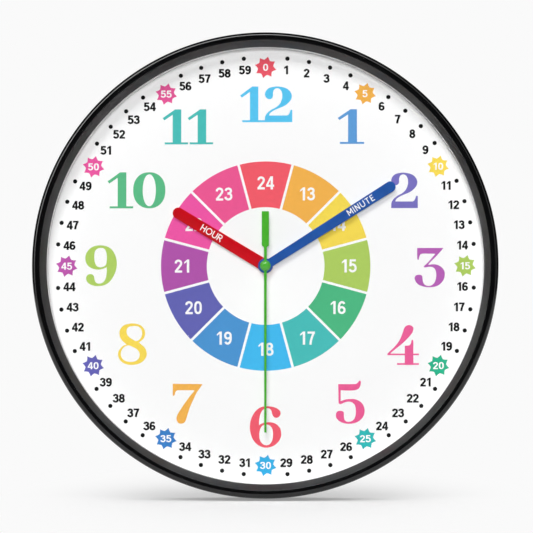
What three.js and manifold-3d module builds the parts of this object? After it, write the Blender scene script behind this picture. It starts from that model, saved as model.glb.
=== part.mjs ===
// Teaching wall clock: a black moulded frame with a clear lens, a dial on a ribbed back plate,
// three hands, and the quartz movement that turns them. It hangs on the wall from a keyhole.
//
// Lengths are in millimetres. The pieces are laid out in a bench frame: z = 0 is the wall,
// +z faces the room, +y is up and the hands turn about the z axis. The last lines stand the
// bench frame up, so that the finished clock faces -Y with +Z up and its origin is the point
// of the wall where the nail goes in.
import * as THREE from 'three';
import { mergeVertices, toCreasedNormals } from 'three/addons/utils/BufferGeometryUtils.js';
import Module from 'manifold-3d';

const wasm = await Module();
wasm.setup();

// Whole clock
const clockDiameter = 300;
const fitGap = 0.3; // clearance wherever one piece seats in or on another
const overrun = 1; // how far a cut runs past the face that it opens
const ringSegments = 60;
const bodySegments = 24;
const smallSegments = 16;
const fineSegments = 8; // on pivots, pilot holes and screws
const arcSegments = 8;
const cornerSegments = 3;
const creaseAngle = THREE.MathUtils.degToRad(32);

// Frame moulding
const bezelWidth = 8.9;
const crestWidth = 3.1;
const shoulderRadius = 1.3;
const slopeHeight = 5.9;
const crestRise = 0.6;
const frameWall = 2.2;
const lipThickness = 1.1;
const lensSeatWidth = 1.7;
const seatWall = 1.2;
const seatDepth = 0.6;

// Lens, dial and back plate
const lensThickness = 2;
const dialThickness = 0.5;
const plateThickness = 2.2;
const plateRimWall = 1.5;
const flangeThickness = 2.2;
const flangeInset = 9.6; // wall plane to the rear face of the flange
const ribThickness = 2;
const ribHeight = 4;
const ribRingRadius = 94;
const ribCount = 8;

// Screws that hold the back plate into the frame
const screwCount = 6;
const screwRadius = 0.8;
const screwReach = 7;
const screwHeadRadius = 2;
const screwHeadHeight = 1.4;
const screwCrownShare = 0.7; // flat top of the head, as a share of its radius
const firstScrewAngle = THREE.MathUtils.degToRad(30);

// Keyhole hanger
const hangerWidth = 34;
const hangerHeight = 28;
const nailInset = 20.8; // rim of the back plate to the top end of the key slot
const hangerInset = 3.6; // wall plane to the rear face of the hanger
const hangerWall = 1.8;
const hangerCornerRadius = 4;
const keyholeRadius = 4.5;
const keySlotWidth = 5;
const keySlotLength = 11;
const hangerMargin = 8.5; // key slot end to the top of the hanger

// Hands, each pressed on its own pipe or arbor
const handThickness = 0.6;
const hubRadius = 4.8;
const colletHeight = 1.2;
const colletWall = 0.8;
const hourHandReach = 69.7;
const hourHandRootWidth = 7.9;
const hourHandTipWidth = 7.3;
const minuteHandReach = 98.9;
const minuteHandRootWidth = 5.5;
const minuteHandTipWidth = 7;
const secondHandReach = 107;
const secondHandThickness = 0.4;
const secondHandRootWidth = 1.8;
const secondHandTipWidth = 1.4;
const counterweightReach = 35.2;
const counterweightWidth = 4.6;
const counterweightLength = 23.4;
const counterweightChamfer = 1.3;
const capRadius = 3.5;
const capHeight = 2.5;
const handSpacing = 1.5; // air between one hand and the next
const hourHandHeight = 2; // air between the dial and the hour hand
const lensClearance = 0.9;
const hourHandAngle = THREE.MathUtils.degToRad(148.8); // the three angles of the shown time
const minuteHandAngle = THREE.MathUtils.degToRad(32.3);
const secondHandAngle = THREE.MathUtils.degToRad(-90);

// Battery, one AA cell lying along the bottom of the movement
const batteryDiameter = 14.5;
const batteryLength = 50.5;
const batteryNubRadius = 2.75;
const batteryNubLength = 1;
const wallStandoff = 0.8; // wall plane to the battery
const contactThickness = 0.4;
const contactWidth = 9;
const contactTailWidth = 2;
const contactTailReach = 8;
const springWidth = 4.5;
const springBow = 2; // tab to the end of the cell that the spring leaf presses on

// Movement case
const caseWall = 1.2;
const caseCornerRadius = 2.5;
const bayWallShare = 0.25; // how much of the cell stands out behind the bay walls
const claspWidth = 8;
const claspThickness = 1.6;
const claspHook = 1.3;
const fenceHeight = 4;
const fenceWall = 1.6;

// Coaxial pipes at the centre and the arbors of the train
const arborRadius = 0.5;
const pipeWall = 0.75;
const bushWall = 1.1;
const pivotDepth = 0.6;
const knobArborRadius = 1;
const knobRadius = 7;
const knobThickness = 2.6;
const knobFluteCount = 20;
const knobFluteDepth = 0.4;

// Wheels are stacked in layers one wheel and one gap deep, numbered from the front of the case
const wheelThickness = 0.9;
const layerGap = 0.5;
const pinionOverrun = 0.1;
const hourLayer = 0;
const motionLayer = 1;
const minuteLayer = 2;
const thirdLayer = 3;
const secondsLayer = 4;
const intermediateLayer = 5;
const layerCount = 6;

// Tooth counts: 30 turns of the rotor make 1 of the second hand, 60 of that make 1 of the
// minute hand, and 12 of that make 1 of the hour hand
const rotorPinionTeeth = 6;
const intermediateTeeth = 30;
const intermediatePinionTeeth = 6;
const secondsTeeth = 36;
const secondsPinionTeeth = 6;
const thirdTeeth = 45;
const thirdPinionTeeth = 6;
const minuteTeeth = 48;
const cannonTeeth = 12;
const motionTeeth = 36;
const motionPinionTeeth = 10;
const hourTeeth = 40;
const rotorModule = 0.36;
const thirdModule = 0.42; // the other modules follow from arbor places that two meshes share
const addendumShare = 0.8;
const dedendumShare = 1.05;
const toothTipShare = 0.17;
const toothRootShare = 0.46;
const thirdArborAngle = THREE.MathUtils.degToRad(20);
const motionArborAngle = THREE.MathUtils.degToRad(85);
const intermediateArborAngle = THREE.MathUtils.degToRad(150);
const rotorArborAngle = THREE.MathUtils.degToRad(125);

// Stepping motor and circuit
const magnetRadius = 2.6;
const magnetHeight = 3;
const statorThickness = 0.8;
const statorRingRadius = 4.6;
const statorHoleRadius = 3.2;
const statorArmWidth = 4;
const statorReach = 10; // rotor to the outer edge of either arm
const coreWidth = 3;
const coreThickness = 0.8;
const bobbinWall = 0.6;
const windingBuild = 1.2;
const flangeWidth = 0.8;
const flangeRise = 0.2;
const postRadius = 1.4;
const boardThickness = 1;
const boardWidth = 18;
const boardHeight = 10;
const crystalRadius = 1;
const crystalLength = 6;
const chipRadius = 2.4;
const chipHeight = 1.1;

// Places through the depth, from the wall to the crest
const batteryAxisZ = wallStandoff + batteryDiameter / 2;
const caseInnerZ = wallStandoff + batteryDiameter + fitGap;
const caseFrontZ = caseInnerZ + caseWall;
const plateRearZ = caseFrontZ + fitGap;
const plateFrontZ = plateRearZ + plateThickness;
const dialRearZ = plateFrontZ + fitGap;
const dialFrontZ = dialRearZ + dialThickness;
const hourHandRearZ = dialFrontZ + hourHandHeight;
const hourHandFrontZ = hourHandRearZ + handThickness;
const minuteHandRearZ = hourHandFrontZ + handSpacing;
const minuteHandFrontZ = minuteHandRearZ + handThickness;
const secondHandRearZ = minuteHandFrontZ + handSpacing;
const secondHandFrontZ = secondHandRearZ + secondHandThickness;
const secondArborEndZ = secondHandFrontZ + capHeight / 2;
const lensRearZ = secondHandFrontZ + capHeight + lensClearance;
const lensFrontZ = lensRearZ + lensThickness;
const lipRearZ = lensFrontZ + fitGap;
const lipFrontZ = lipRearZ + lipThickness;
const slopeTopZ = lipFrontZ + slopeHeight;
const crestZ = slopeTopZ + crestRise;
const flangeFrontZ = flangeInset + flangeThickness;
const worksDepth = layerCount * (wheelThickness + layerGap) + layerGap;
const coverInnerZ = caseInnerZ - worksDepth;
const coverRearZ = coverInnerZ - caseWall;
const knobRearZ = coverRearZ - fitGap - knobThickness;
const bayRimZ = wallStandoff + bayWallShare * batteryDiameter;

// Radii of the frame, the lens and the back plate
const outerRadius = clockDiameter / 2;
const openingRadius = outerRadius - bezelWidth;
const crestOuterRadius = outerRadius - shoulderRadius;
const slopeTopRadius = crestOuterRadius - crestWidth;
const innerWallRadius = outerRadius - frameWall;
const lensRadius = openingRadius + lensSeatWidth;
const seatRadius = lensRadius + fitGap;
const seatOuterRadius = seatRadius + seatWall;
const plateRimInner = lensRadius - plateRimWall;
const flangeRadius = innerWallRadius - fitGap;
const screwCircleRadius = (lensRadius + flangeRadius) / 2;
const dialRadius = plateRimInner - fitGap;
const nailSeat = plateRimInner - nailInset; // hand axis to the top end of the key slot

// Radii of the coaxial pipes, each running on the one inside it
const minutePipeBore = arborRadius + fitGap;
const minutePipeRadius = minutePipeBore + pipeWall;
const hourPipeBore = minutePipeRadius + fitGap;
const hourPipeRadius = hourPipeBore + pipeWall;
const bushBore = hourPipeRadius + fitGap;
const bushRadius = bushBore + bushWall;
const centreHoleRadius = bushRadius + fitGap;

// Arbor places in the plane of the works
const tipRadius = (teeth, size) => size * (teeth / 2 + addendumShare);
const rootRadius = (teeth, size) => size * (teeth / 2 - dedendumShare);
const centreDistance = (teeth, otherTeeth, size) => (size * (teeth + otherTeeth)) / 2;
const sharedModule = (teeth, otherTeeth, distance) => (2 * distance) / (teeth + otherTeeth);
const pointAt = (angle, distance, from = [0, 0]) => [
  from[0] + distance * Math.cos(angle),
  from[1] + distance * Math.sin(angle),
];

const thirdDistance = centreDistance(secondsPinionTeeth, thirdTeeth, thirdModule);
const minuteModule = sharedModule(thirdPinionTeeth, minuteTeeth, thirdDistance);
const minuteWheelReach = tipRadius(minuteTeeth, minuteModule);
const motionDistance = minuteWheelReach + fitGap + knobArborRadius;
const cannonModule = sharedModule(cannonTeeth, motionTeeth, motionDistance);
const hourModule = sharedModule(motionPinionTeeth, hourTeeth, motionDistance);
const intermediateDistance = minuteWheelReach + fitGap + arborRadius;
const secondsModule = sharedModule(secondsTeeth, intermediatePinionTeeth, intermediateDistance);
const rotorDistance = centreDistance(intermediateTeeth, rotorPinionTeeth, rotorModule);
const centreReach = Math.max(minuteWheelReach, tipRadius(secondsTeeth, secondsModule));

const thirdArbor = pointAt(thirdArborAngle, thirdDistance);
const motionArbor = pointAt(motionArborAngle, motionDistance);
const intermediateArbor = pointAt(intermediateArborAngle, intermediateDistance);
const rotorArbor = pointAt(rotorArborAngle, rotorDistance, intermediateArbor);

// Coil and circuit places, and the walls of the case that follow from what it holds
const coilHalfDepth = coreThickness / 2 + fitGap + bobbinWall + fitGap + windingBuild + flangeRise;
const coilHalfHeight = coreWidth / 2 + fitGap + bobbinWall + fitGap + windingBuild + flangeRise;
const coilY = rotorArbor[1] + statorRingRadius + 2 * fitGap + coilHalfHeight;
const statorRearZ = layerRear(thirdLayer);
const statorFrontZ = statorRearZ + statorThickness;
const coreRearZ = statorFrontZ + fitGap;
const coilAxisZ = coreRearZ + coreThickness / 2;
const coilHalfLength = statorReach - statorArmWidth - fitGap;
const dividerTop = -(centreReach + fitGap);
const dividerBottom = dividerTop - caseWall;
const batteryY = dividerBottom - fitGap - batteryDiameter / 2;
const bayBottom = batteryY - batteryDiameter / 2 - fitGap;
const caseBottom = bayBottom - caseWall;
const worksTop = coilY + coilHalfHeight + fitGap;
const caseTop = worksTop + caseWall;
const springRoom = fitGap + contactThickness + springBow + fitGap; // wall to cell, spring end
const tabRoom = fitGap + contactThickness + fitGap; // cell to wall, flat end
const bayHalfLength = (springRoom + batteryLength + tabRoom) / 2;
const batteryRearX = springRoom - bayHalfLength;
const contactTailZ = batteryAxisZ + (contactWidth - contactTailWidth) / 2;
const caseHalfWidth = bayHalfLength + caseWall;

function layerRear(layer) {
  return caseInnerZ - (layer + 1) * (wheelThickness + layerGap);
}

function layerFront(layer) {
  return layerRear(layer) + wheelThickness;
}

// Solids from three.js geometry

function toSolid(geometry) {
  const bare = geometry.clone();
  bare.deleteAttribute('normal');
  bare.deleteAttribute('uv');
  const merged = mergeVertices(bare);
  const index = merged.index.array;
  const corners = [];
  for (let i = 0; i < index.length; i += 3) {
    const [a, b, c] = [index[i], index[i + 1], index[i + 2]];
    if (a !== b && b !== c && c !== a) {
      corners.push(a, b, c);
    }
  }
  const mesh = new wasm.Mesh({
    numProp: 3,
    vertProperties: new Float32Array(merged.attributes.position.array),
    triVerts: new Uint32Array(corners),
  });
  return new wasm.Manifold(mesh);
}

function toGeometry(solid) {
  const mesh = solid.getMesh();
  const geometry = new THREE.BufferGeometry();
  geometry.setAttribute('position', new THREE.BufferAttribute(mesh.vertProperties, 3));
  geometry.setIndex(new THREE.BufferAttribute(mesh.triVerts, 1));
  return toCreasedNormals(geometry, creaseAngle);
}

// Solid of revolution about the z axis: the profile is a closed loop of [radius, z] points
function revolve(profile, segments = ringSegments) {
  let doubleArea = 0;
  profile.forEach(([r, z], i) => {
    const [nextR, nextZ] = profile[(i + 1) % profile.length];
    doubleArea += r * nextZ - nextR * z;
  });
  const ordered = doubleArea > 0 ? [...profile] : [...profile].reverse();
  ordered.push(ordered[0]);
  const points = ordered.map(([r, z]) => new THREE.Vector2(r, z));
  const geometry = new THREE.LatheGeometry(points, segments);
  geometry.rotateX(Math.PI / 2);
  return toSolid(geometry);
}

function rod(radius, rearZ, frontZ, [x, y] = [0, 0], segments = smallSegments) {
  const profile = [[0, rearZ], [radius, rearZ], [radius, frontZ], [0, frontZ]];
  return revolve(profile, segments).translate([x, y, 0]);
}

function tube(bore, radius, rearZ, frontZ, [x, y] = [0, 0], segments = smallSegments) {
  const profile = [[bore, rearZ], [radius, rearZ], [radius, frontZ], [bore, frontZ]];
  return revolve(profile, segments).translate([x, y, 0]);
}

function extrude(shape, rearZ, frontZ, curveSegments = cornerSegments) {
  const settings = { depth: frontZ - rearZ, bevelEnabled: false, curveSegments };
  const geometry = new THREE.ExtrudeGeometry(shape, settings);
  geometry.translate(0, 0, rearZ);
  return toSolid(geometry);
}

function block([x0, x1], [y0, y1], [z0, z1]) {
  const geometry = new THREE.BoxGeometry(x1 - x0, y1 - y0, z1 - z0);
  geometry.translate((x0 + x1) / 2, (y0 + y1) / 2, (z0 + z1) / 2);
  return toSolid(geometry);
}

function polygon(points) {
  return new THREE.Shape(points.map(([x, y]) => new THREE.Vector2(x, y)));
}

function roundedBox([x0, x1], [y0, y1], radius) {
  const shape = new THREE.Shape();
  shape.moveTo(x0 + radius, y0);
  shape.lineTo(x1 - radius, y0);
  shape.absarc(x1 - radius, y0 + radius, radius, -Math.PI / 2, 0);
  shape.lineTo(x1, y1 - radius);
  shape.absarc(x1 - radius, y1 - radius, radius, 0, Math.PI / 2);
  shape.lineTo(x0 + radius, y1);
  shape.absarc(x0 + radius, y1 - radius, radius, Math.PI / 2, Math.PI);
  shape.lineTo(x0, y0 + radius);
  shape.absarc(x0 + radius, y0 + radius, radius, Math.PI, Math.PI * 1.5);
  return shape;
}

const unionOf = (solids) => solids.reduce((whole, solid) => whole.add(solid));
const cutFrom = (body, cuts) => cuts.reduce((whole, cut) => whole.subtract(cut), body);
const aroundCircle = (count, first = 0) =>
  Array.from({ length: count }, (_, i) => first + (2 * Math.PI * i) / count);
const inDegrees = (angle) => THREE.MathUtils.radToDeg(angle);

// Materials

const paints = {
  blackGloss: { color: 0x0b0b0c, roughness: 0.18, metalness: 0 },
  blackMatt: { color: 0x1b1b1d, roughness: 0.6, metalness: 0 },
  clear: { color: 0xffffff, roughness: 0.05, metalness: 0, transparent: true, opacity: 0.12 },
  whitePrint: { color: 0xfdfdfd, roughness: 0.7, metalness: 0 },
  redPaint: { color: 0xc80a1a, roughness: 0.35, metalness: 0 },
  bluePaint: { color: 0x1f4fa6, roughness: 0.35, metalness: 0 },
  greenPaint: { color: 0x4cb531, roughness: 0.3, metalness: 0 },
  whiteNylon: { color: 0xe9e7df, roughness: 0.5, metalness: 0 },
  greyPlastic: { color: 0x3a3c40, roughness: 0.55, metalness: 0 },
  steel: { color: 0xb9bcc0, roughness: 0.35, metalness: 1 },
  copper: { color: 0xb4673a, roughness: 0.4, metalness: 1 },
  magnet: { color: 0x4a4a4d, roughness: 0.5, metalness: 0.6 },
  circuitBoard: { color: 0x9a7a3c, roughness: 0.6, metalness: 0 },
  blackEpoxy: { color: 0x101010, roughness: 0.35, metalness: 0 },
  batteryJacket: { color: 0x2f6f4c, roughness: 0.35, metalness: 0.2 },
};

const bench = new THREE.Group();

function place(name, solid, paint) {
  const material = new THREE.MeshStandardMaterial({ name: paint, ...paints[paint] });
  const mesh = new THREE.Mesh(toGeometry(solid), material);
  mesh.name = name;
  bench.add(mesh);
}

// Frame: one moulding whose wall rises to a glossy crest and slopes in to a lip over the lens

function makeFrame() {
  const slopeWidth = slopeTopRadius - openingRadius;
  const slopeLength = Math.hypot(slopeWidth, slopeHeight);
  const slopeShare = Math.min(1, (seatOuterRadius - openingRadius) / slopeWidth);
  const undersideZ = lipFrontZ + slopeHeight * slopeShare - (frameWall * slopeLength) / slopeWidth;
  const seatRearZ = lensRearZ - seatDepth;
  const crestMiddle = (slopeTopRadius + crestOuterRadius) / 2;
  const shoulderZ = slopeTopZ - shoulderRadius;
  const shoulderSteps = 3;
  const shoulder = Array.from({ length: shoulderSteps + 1 }, (_, i) => {
    const angle = (Math.PI / 2) * (1 - i / shoulderSteps);
    const radius = crestOuterRadius + shoulderRadius * Math.cos(angle);
    return [radius, shoulderZ + shoulderRadius * Math.sin(angle)];
  });
  const ring = revolve([
    [openingRadius, lipRearZ],
    [openingRadius, lipFrontZ],
    [slopeTopRadius, slopeTopZ],
    [crestMiddle, crestZ],
    ...shoulder,
    [outerRadius, 0],
    [innerWallRadius, 0],
    [innerWallRadius, crestZ - frameWall],
    [seatOuterRadius, undersideZ],
    [seatOuterRadius, seatRearZ],
    [seatRadius, seatRearZ],
    [seatRadius, lipRearZ],
  ]);
  const bossRadius = screwCircleRadius - lensRadius - fitGap;
  const bossRearZ = flangeFrontZ + fitGap;
  const webReach = innerWallRadius + frameWall / 2;
  const bosses = [];
  const pilots = [];
  for (const angle of aroundCircle(screwCount, firstScrewAngle)) {
    const centre = pointAt(angle, screwCircleRadius);
    const web = block(
      [screwCircleRadius, webReach],
      [-frameWall / 2, frameWall / 2],
      [bossRearZ, undersideZ],
    );
    bosses.push(rod(bossRadius, bossRearZ, undersideZ, centre));
    bosses.push(web.rotate([0, 0, inDegrees(angle)]));
    const pilotEnd = flangeFrontZ + screwReach + fitGap;
    pilots.push(rod(screwRadius + fitGap, bossRearZ - overrun, pilotEnd, centre, fineSegments));
  }
  return cutFrom(unionOf([ring, ...bosses]), pilots);
}

// Lens: a plain clear disc clamped between the lip and the rim of the back plate

function makeLens() {
  return rod(lensRadius, lensRearZ, lensFrontZ, [0, 0], ringSegments);
}

function makeDial() {
  return tube(centreHoleRadius, dialRadius, dialRearZ, dialFrontZ, [0, 0], ringSegments);
}

// Back plate: a tray with a rim up to the lens, a screwed flange, ribs, the fence and clasps
// that hold the movement, and the hollow keyhole hanger

function makeBackPlate() {
  const tray = revolve([
    [centreHoleRadius, plateRearZ],
    [plateRimInner, plateRearZ],
    [plateRimInner, flangeInset],
    [flangeRadius, flangeInset],
    [flangeRadius, flangeFrontZ],
    [lensRadius, flangeFrontZ],
    [lensRadius, lensRearZ - fitGap],
    [plateRimInner, lensRearZ - fitGap],
    [plateRimInner, plateFrontZ],
    [centreHoleRadius, plateFrontZ],
  ]);
  const ribRearZ = plateRearZ - ribHeight;
  const ribSunkZ = plateRearZ + plateThickness / 2;
  const ribReach = plateRimInner + plateRimWall / 2;
  const ribs = aroundCircle(ribCount).map((angle) =>
    block([0, ribReach], [-ribThickness / 2, ribThickness / 2], [ribRearZ, ribSunkZ])
      .rotate([0, 0, inDegrees(angle)]));
  const ribRing = tube(
    ribRingRadius - ribThickness / 2,
    ribRingRadius + ribThickness / 2,
    ribRearZ,
    ribSunkZ,
    [0, 0],
    ringSegments,
  );
  const hangerX = [-hangerWidth / 2, hangerWidth / 2];
  const hangerTop = nailSeat + hangerMargin;
  const hangerY = [hangerTop - hangerHeight, hangerTop];
  const hanger = extrude(roundedBox(hangerX, hangerY, hangerCornerRadius), hangerInset, ribSunkZ);
  const pocket = extrude(
    roundedBox(
      [hangerX[0] + hangerWall, hangerX[1] - hangerWall],
      [hangerY[0] + hangerWall, hangerY[1] - hangerWall],
      Math.max(hangerCornerRadius - hangerWall, hangerCornerRadius / 2),
    ),
    hangerInset + hangerWall,
    plateRearZ,
  );
  const keyholeY = nailSeat - keySlotLength;
  const keyCut = [hangerInset - overrun, hangerInset + hangerWall + overrun];
  const keyhole = unionOf([
    rod(keyholeRadius, keyCut[0], keyCut[1], [0, keyholeY]),
    rod(keySlotWidth / 2, keyCut[0], keyCut[1], [0, nailSeat]),
    block([-keySlotWidth / 2, keySlotWidth / 2], [keyholeY, nailSeat], keyCut),
  ]);
  const fenceInnerX = [-caseHalfWidth - fitGap, caseHalfWidth + fitGap];
  const fenceInnerY = [caseBottom - fitGap, caseTop + fitGap];
  const fenceOuter = roundedBox(
    [fenceInnerX[0] - fenceWall, fenceInnerX[1] + fenceWall],
    [fenceInnerY[0] - fenceWall, fenceInnerY[1] + fenceWall],
    caseCornerRadius + fenceWall,
  );
  const fence = extrude(fenceOuter, plateRearZ - fenceHeight, ribSunkZ);
  const well = extrude(roundedBox(fenceInnerX, fenceInnerY, caseCornerRadius), -overrun, plateRearZ);
  const centreCut = [plateRearZ - overrun, plateFrontZ + overrun];
  const centreHole = rod(centreHoleRadius, ...centreCut, [0, 0], ringSegments);
  const screwHoles = aroundCircle(screwCount, firstScrewAngle).map((angle) =>
    rod(
      screwRadius + fitGap,
      flangeInset - overrun,
      flangeFrontZ + overrun,
      pointAt(angle, screwCircleRadius),
      fineSegments,
    ));
  const ribbed = cutFrom(unionOf([tray, ...ribs, ribRing, hanger, fence]), [pocket, keyhole, well]);
  return cutFrom(unionOf([ribbed, ...makeClasps()]), [centreHole, ...screwHoles]);
}

// Clasps: sprung hooks on the back plate that close over the rear cover of the movement

function makeClasps() {
  const hookFrontZ = coverRearZ - fitGap;
  const hookTipZ = hookFrontZ - claspThickness;
  const rootZ = plateRearZ + plateThickness / 2;
  const outline = polygon([
    [fitGap, rootZ],
    [fitGap, hookFrontZ],
    [-claspHook, hookFrontZ],
    [-claspHook, hookFrontZ - claspThickness / 2],
    [fitGap, hookTipZ],
    [fitGap + claspThickness, hookTipZ],
    [fitGap + claspThickness, rootZ],
  ]);
  const hook = extrude(outline, -claspWidth / 2, claspWidth / 2)
    .rotate([90, 0, 0]);
  const sideY = (dividerTop + caseTop) / 2;
  const topX = caseHalfWidth / 2;
  return [
    hook.translate([caseHalfWidth, sideY, 0]),
    hook.rotate([0, 0, 180]).translate([-caseHalfWidth, sideY, 0]),
    hook.rotate([0, 0, 90]).translate([topX, caseTop, 0]),
    hook.rotate([0, 0, 90]).translate([-topX, caseTop, 0]),
  ];
}

function makeScrew(angle) {
  const shankFrontZ = flangeFrontZ + screwReach;
  const seatZ = flangeInset - fitGap;
  const headRearZ = seatZ - screwHeadHeight;
  const profile = [
    [0, headRearZ],
    [screwHeadRadius * screwCrownShare, headRearZ],
    [screwHeadRadius, headRearZ + screwHeadHeight / 2],
    [screwHeadRadius, seatZ],
    [screwRadius, seatZ],
    [screwRadius, shankFrontZ - screwRadius],
    [0, shankFrontZ],
  ];
  const [x, y] = pointAt(angle, screwCircleRadius);
  return revolve(profile, fineSegments).translate([x, y, 0]);
}

// Hands: straps pointing along +x before they are turned to the time

function strapOutline(reach, rootWidth, tipWidth) {
  const tip = tipWidth / 2;
  const tipCentre = reach - tip;
  const rootHalf = rootWidth / 2;
  const shape = new THREE.Shape();
  shape.moveTo(0, -rootHalf);
  shape.lineTo(tipCentre, -tip);
  shape.absarc(tipCentre, 0, tip, -Math.PI / 2, Math.PI / 2);
  shape.lineTo(0, rootHalf);
  return shape;
}

function pressedHand({ reach, rootWidth, tipWidth, rearZ, pipeRadius, angle }) {
  const frontZ = rearZ + handThickness;
  const bore = pipeRadius + fitGap;
  const strap = extrude(strapOutline(reach, rootWidth, tipWidth), rearZ, frontZ, arcSegments);
  const hub = rod(hubRadius, rearZ, frontZ, [0, 0], bodySegments);
  const collet = rod(bore + colletWall, rearZ - colletHeight, frontZ);
  const hole = rod(bore, rearZ - colletHeight - overrun, frontZ + overrun);
  return unionOf([strap, hub, collet]).subtract(hole).rotate([0, 0, inDegrees(angle)]);
}

function makeHourHand() {
  return pressedHand({
    reach: hourHandReach,
    rootWidth: hourHandRootWidth,
    tipWidth: hourHandTipWidth,
    rearZ: hourHandRearZ,
    pipeRadius: hourPipeRadius,
    angle: hourHandAngle,
  });
}

function makeMinuteHand() {
  return pressedHand({
    reach: minuteHandReach,
    rootWidth: minuteHandRootWidth,
    tipWidth: minuteHandTipWidth,
    rearZ: minuteHandRearZ,
    pipeRadius: minutePipeRadius,
    angle: minuteHandAngle,
  });
}

function makeSecondHand() {
  const root = secondHandRootWidth / 2;
  const tip = secondHandTipWidth / 2;
  const half = counterweightWidth / 2;
  const paddleStart = counterweightReach - counterweightLength;
  const outline = polygon([
    [secondHandReach, -tip],
    [secondHandReach, tip],
    [0, root],
    [-paddleStart, root],
    [-paddleStart - counterweightChamfer, half],
    [-counterweightReach, half],
    [-counterweightReach, -half],
    [-paddleStart - counterweightChamfer, -half],
    [-paddleStart, -root],
    [0, -root],
  ]);
  const strap = extrude(outline, secondHandRearZ, secondHandFrontZ);
  const capSteps = 4;
  const capProfile = [[0, secondHandRearZ], [capRadius, secondHandRearZ]];
  for (let i = 0; i <= capSteps; i += 1) {
    const angle = (Math.PI / 2) * (i / capSteps);
    const radius = i < capSteps ? capRadius * Math.cos(angle) : 0;
    capProfile.push([radius, secondHandFrontZ + capHeight * Math.sin(angle)]);
  }
  const cap = revolve(capProfile, smallSegments);
  const bore = arborRadius + fitGap;
  const colletRearZ = secondHandRearZ - colletHeight / 2;
  const collet = rod(bore + colletWall, colletRearZ, secondHandFrontZ);
  const hole = rod(bore, colletRearZ - overrun, secondArborEndZ + fitGap);
  return unionOf([strap, cap, collet]).subtract(hole).rotate([0, 0, inDegrees(secondHandAngle)]);
}

// Wheels: stub teeth in a closed outline, one of them centred on the angle called phase

function toothedWheel(teeth, size, phase, rearZ, frontZ) {
  const pitch = (2 * Math.PI) / teeth;
  const tip = tipRadius(teeth, size);
  const root = rootRadius(teeth, size);
  const outline = [];
  for (let i = 0; i < teeth; i += 1) {
    const centre = phase + i * pitch;
    outline.push(pointAt(centre - (pitch * toothRootShare) / 2, root));
    outline.push(pointAt(centre - (pitch * toothTipShare) / 2, tip));
    outline.push(pointAt(centre + (pitch * toothTipShare) / 2, tip));
    outline.push(pointAt(centre + (pitch * toothRootShare) / 2, root));
  }
  return extrude(polygon(outline), rearZ, frontZ);
}

// The phase that puts the other wheel's gap where the first wheel has its tooth
function meshedPhase(angle, teeth, phase, otherTeeth) {
  const pitch = (2 * Math.PI) / teeth;
  const otherPitch = (2 * Math.PI) / otherTeeth;
  return angle + Math.PI - otherPitch / 2 + (otherPitch * (angle - phase)) / pitch;
}

function plainArbor(frontZ = caseInnerZ + pivotDepth) {
  return rod(arborRadius, coverRearZ + fitGap, frontZ, [0, 0], fineSegments);
}

function makeRotor() {
  const phase = meshedPhase(rotorArborAngle, intermediateTeeth, 0, rotorPinionTeeth);
  const magnetMiddle = statorRearZ + statorThickness / 2;
  const pinionRearZ = layerRear(intermediateLayer) - pinionOverrun;
  const magnetRearZ = magnetMiddle - magnetHeight / 2;
  return unionOf([
    toothedWheel(rotorPinionTeeth, rotorModule, phase, pinionRearZ, magnetRearZ),
    rod(magnetRadius, magnetRearZ, magnetMiddle + magnetHeight / 2),
    plainArbor(),
  ]).translate([...rotorArbor, 0]);
}

function makeIntermediateWheel() {
  const wheelFront = layerFront(intermediateLayer);
  const pinionFront = layerFront(secondsLayer) + pinionOverrun;
  const phase = meshedPhase(intermediateArborAngle, secondsTeeth, 0, intermediatePinionTeeth);
  return unionOf([
    toothedWheel(intermediateTeeth, rotorModule, 0, layerRear(intermediateLayer), wheelFront),
    toothedWheel(intermediatePinionTeeth, secondsModule, phase, wheelFront, pinionFront),
    plainArbor(),
  ]).translate([...intermediateArbor, 0]);
}

function makeSecondsWheel() {
  const wheelFront = layerFront(secondsLayer);
  const pinionFront = layerFront(thirdLayer) + pinionOverrun;
  return unionOf([
    toothedWheel(secondsTeeth, secondsModule, 0, layerRear(secondsLayer), wheelFront),
    toothedWheel(secondsPinionTeeth, thirdModule, 0, wheelFront, pinionFront),
    plainArbor(secondArborEndZ),
  ]);
}

function makeThirdWheel() {
  const wheelFront = layerFront(thirdLayer);
  const pinionFront = layerFront(minuteLayer) + pinionOverrun;
  const phase = meshedPhase(thirdArborAngle, secondsPinionTeeth, 0, thirdTeeth);
  return unionOf([
    toothedWheel(thirdTeeth, thirdModule, phase, layerRear(thirdLayer), wheelFront),
    toothedWheel(thirdPinionTeeth, minuteModule, 0, wheelFront, pinionFront),
    plainArbor(),
  ]).translate([...thirdArbor, 0]);
}

// Minute wheel: rides on the sleeve of the cannon pinion and drives it by friction, so the
// hands can be set while the train stands still
function makeMinuteWheel() {
  const phase = meshedPhase(thirdArborAngle + Math.PI, thirdPinionTeeth, 0, minuteTeeth);
  const rear = layerRear(minuteLayer);
  const front = layerFront(minuteLayer);
  const wheel = toothedWheel(minuteTeeth, minuteModule, phase, rear, front);
  return wheel.subtract(rod(hourPipeBore, rear - overrun, front + overrun));
}

function makeCannonPinion() {
  const rear = layerRear(minuteLayer) - pinionOverrun;
  const top = minuteHandFrontZ + pinionOverrun;
  const pinionRear = layerRear(motionLayer) - pinionOverrun;
  const pinionFront = layerFront(motionLayer) + pinionOverrun;
  return unionOf([
    rod(minutePipeRadius, rear, top),
    toothedWheel(cannonTeeth, cannonModule, 0, pinionRear, pinionFront),
  ]).subtract(rod(minutePipeBore, rear - overrun, top + overrun));
}

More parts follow.
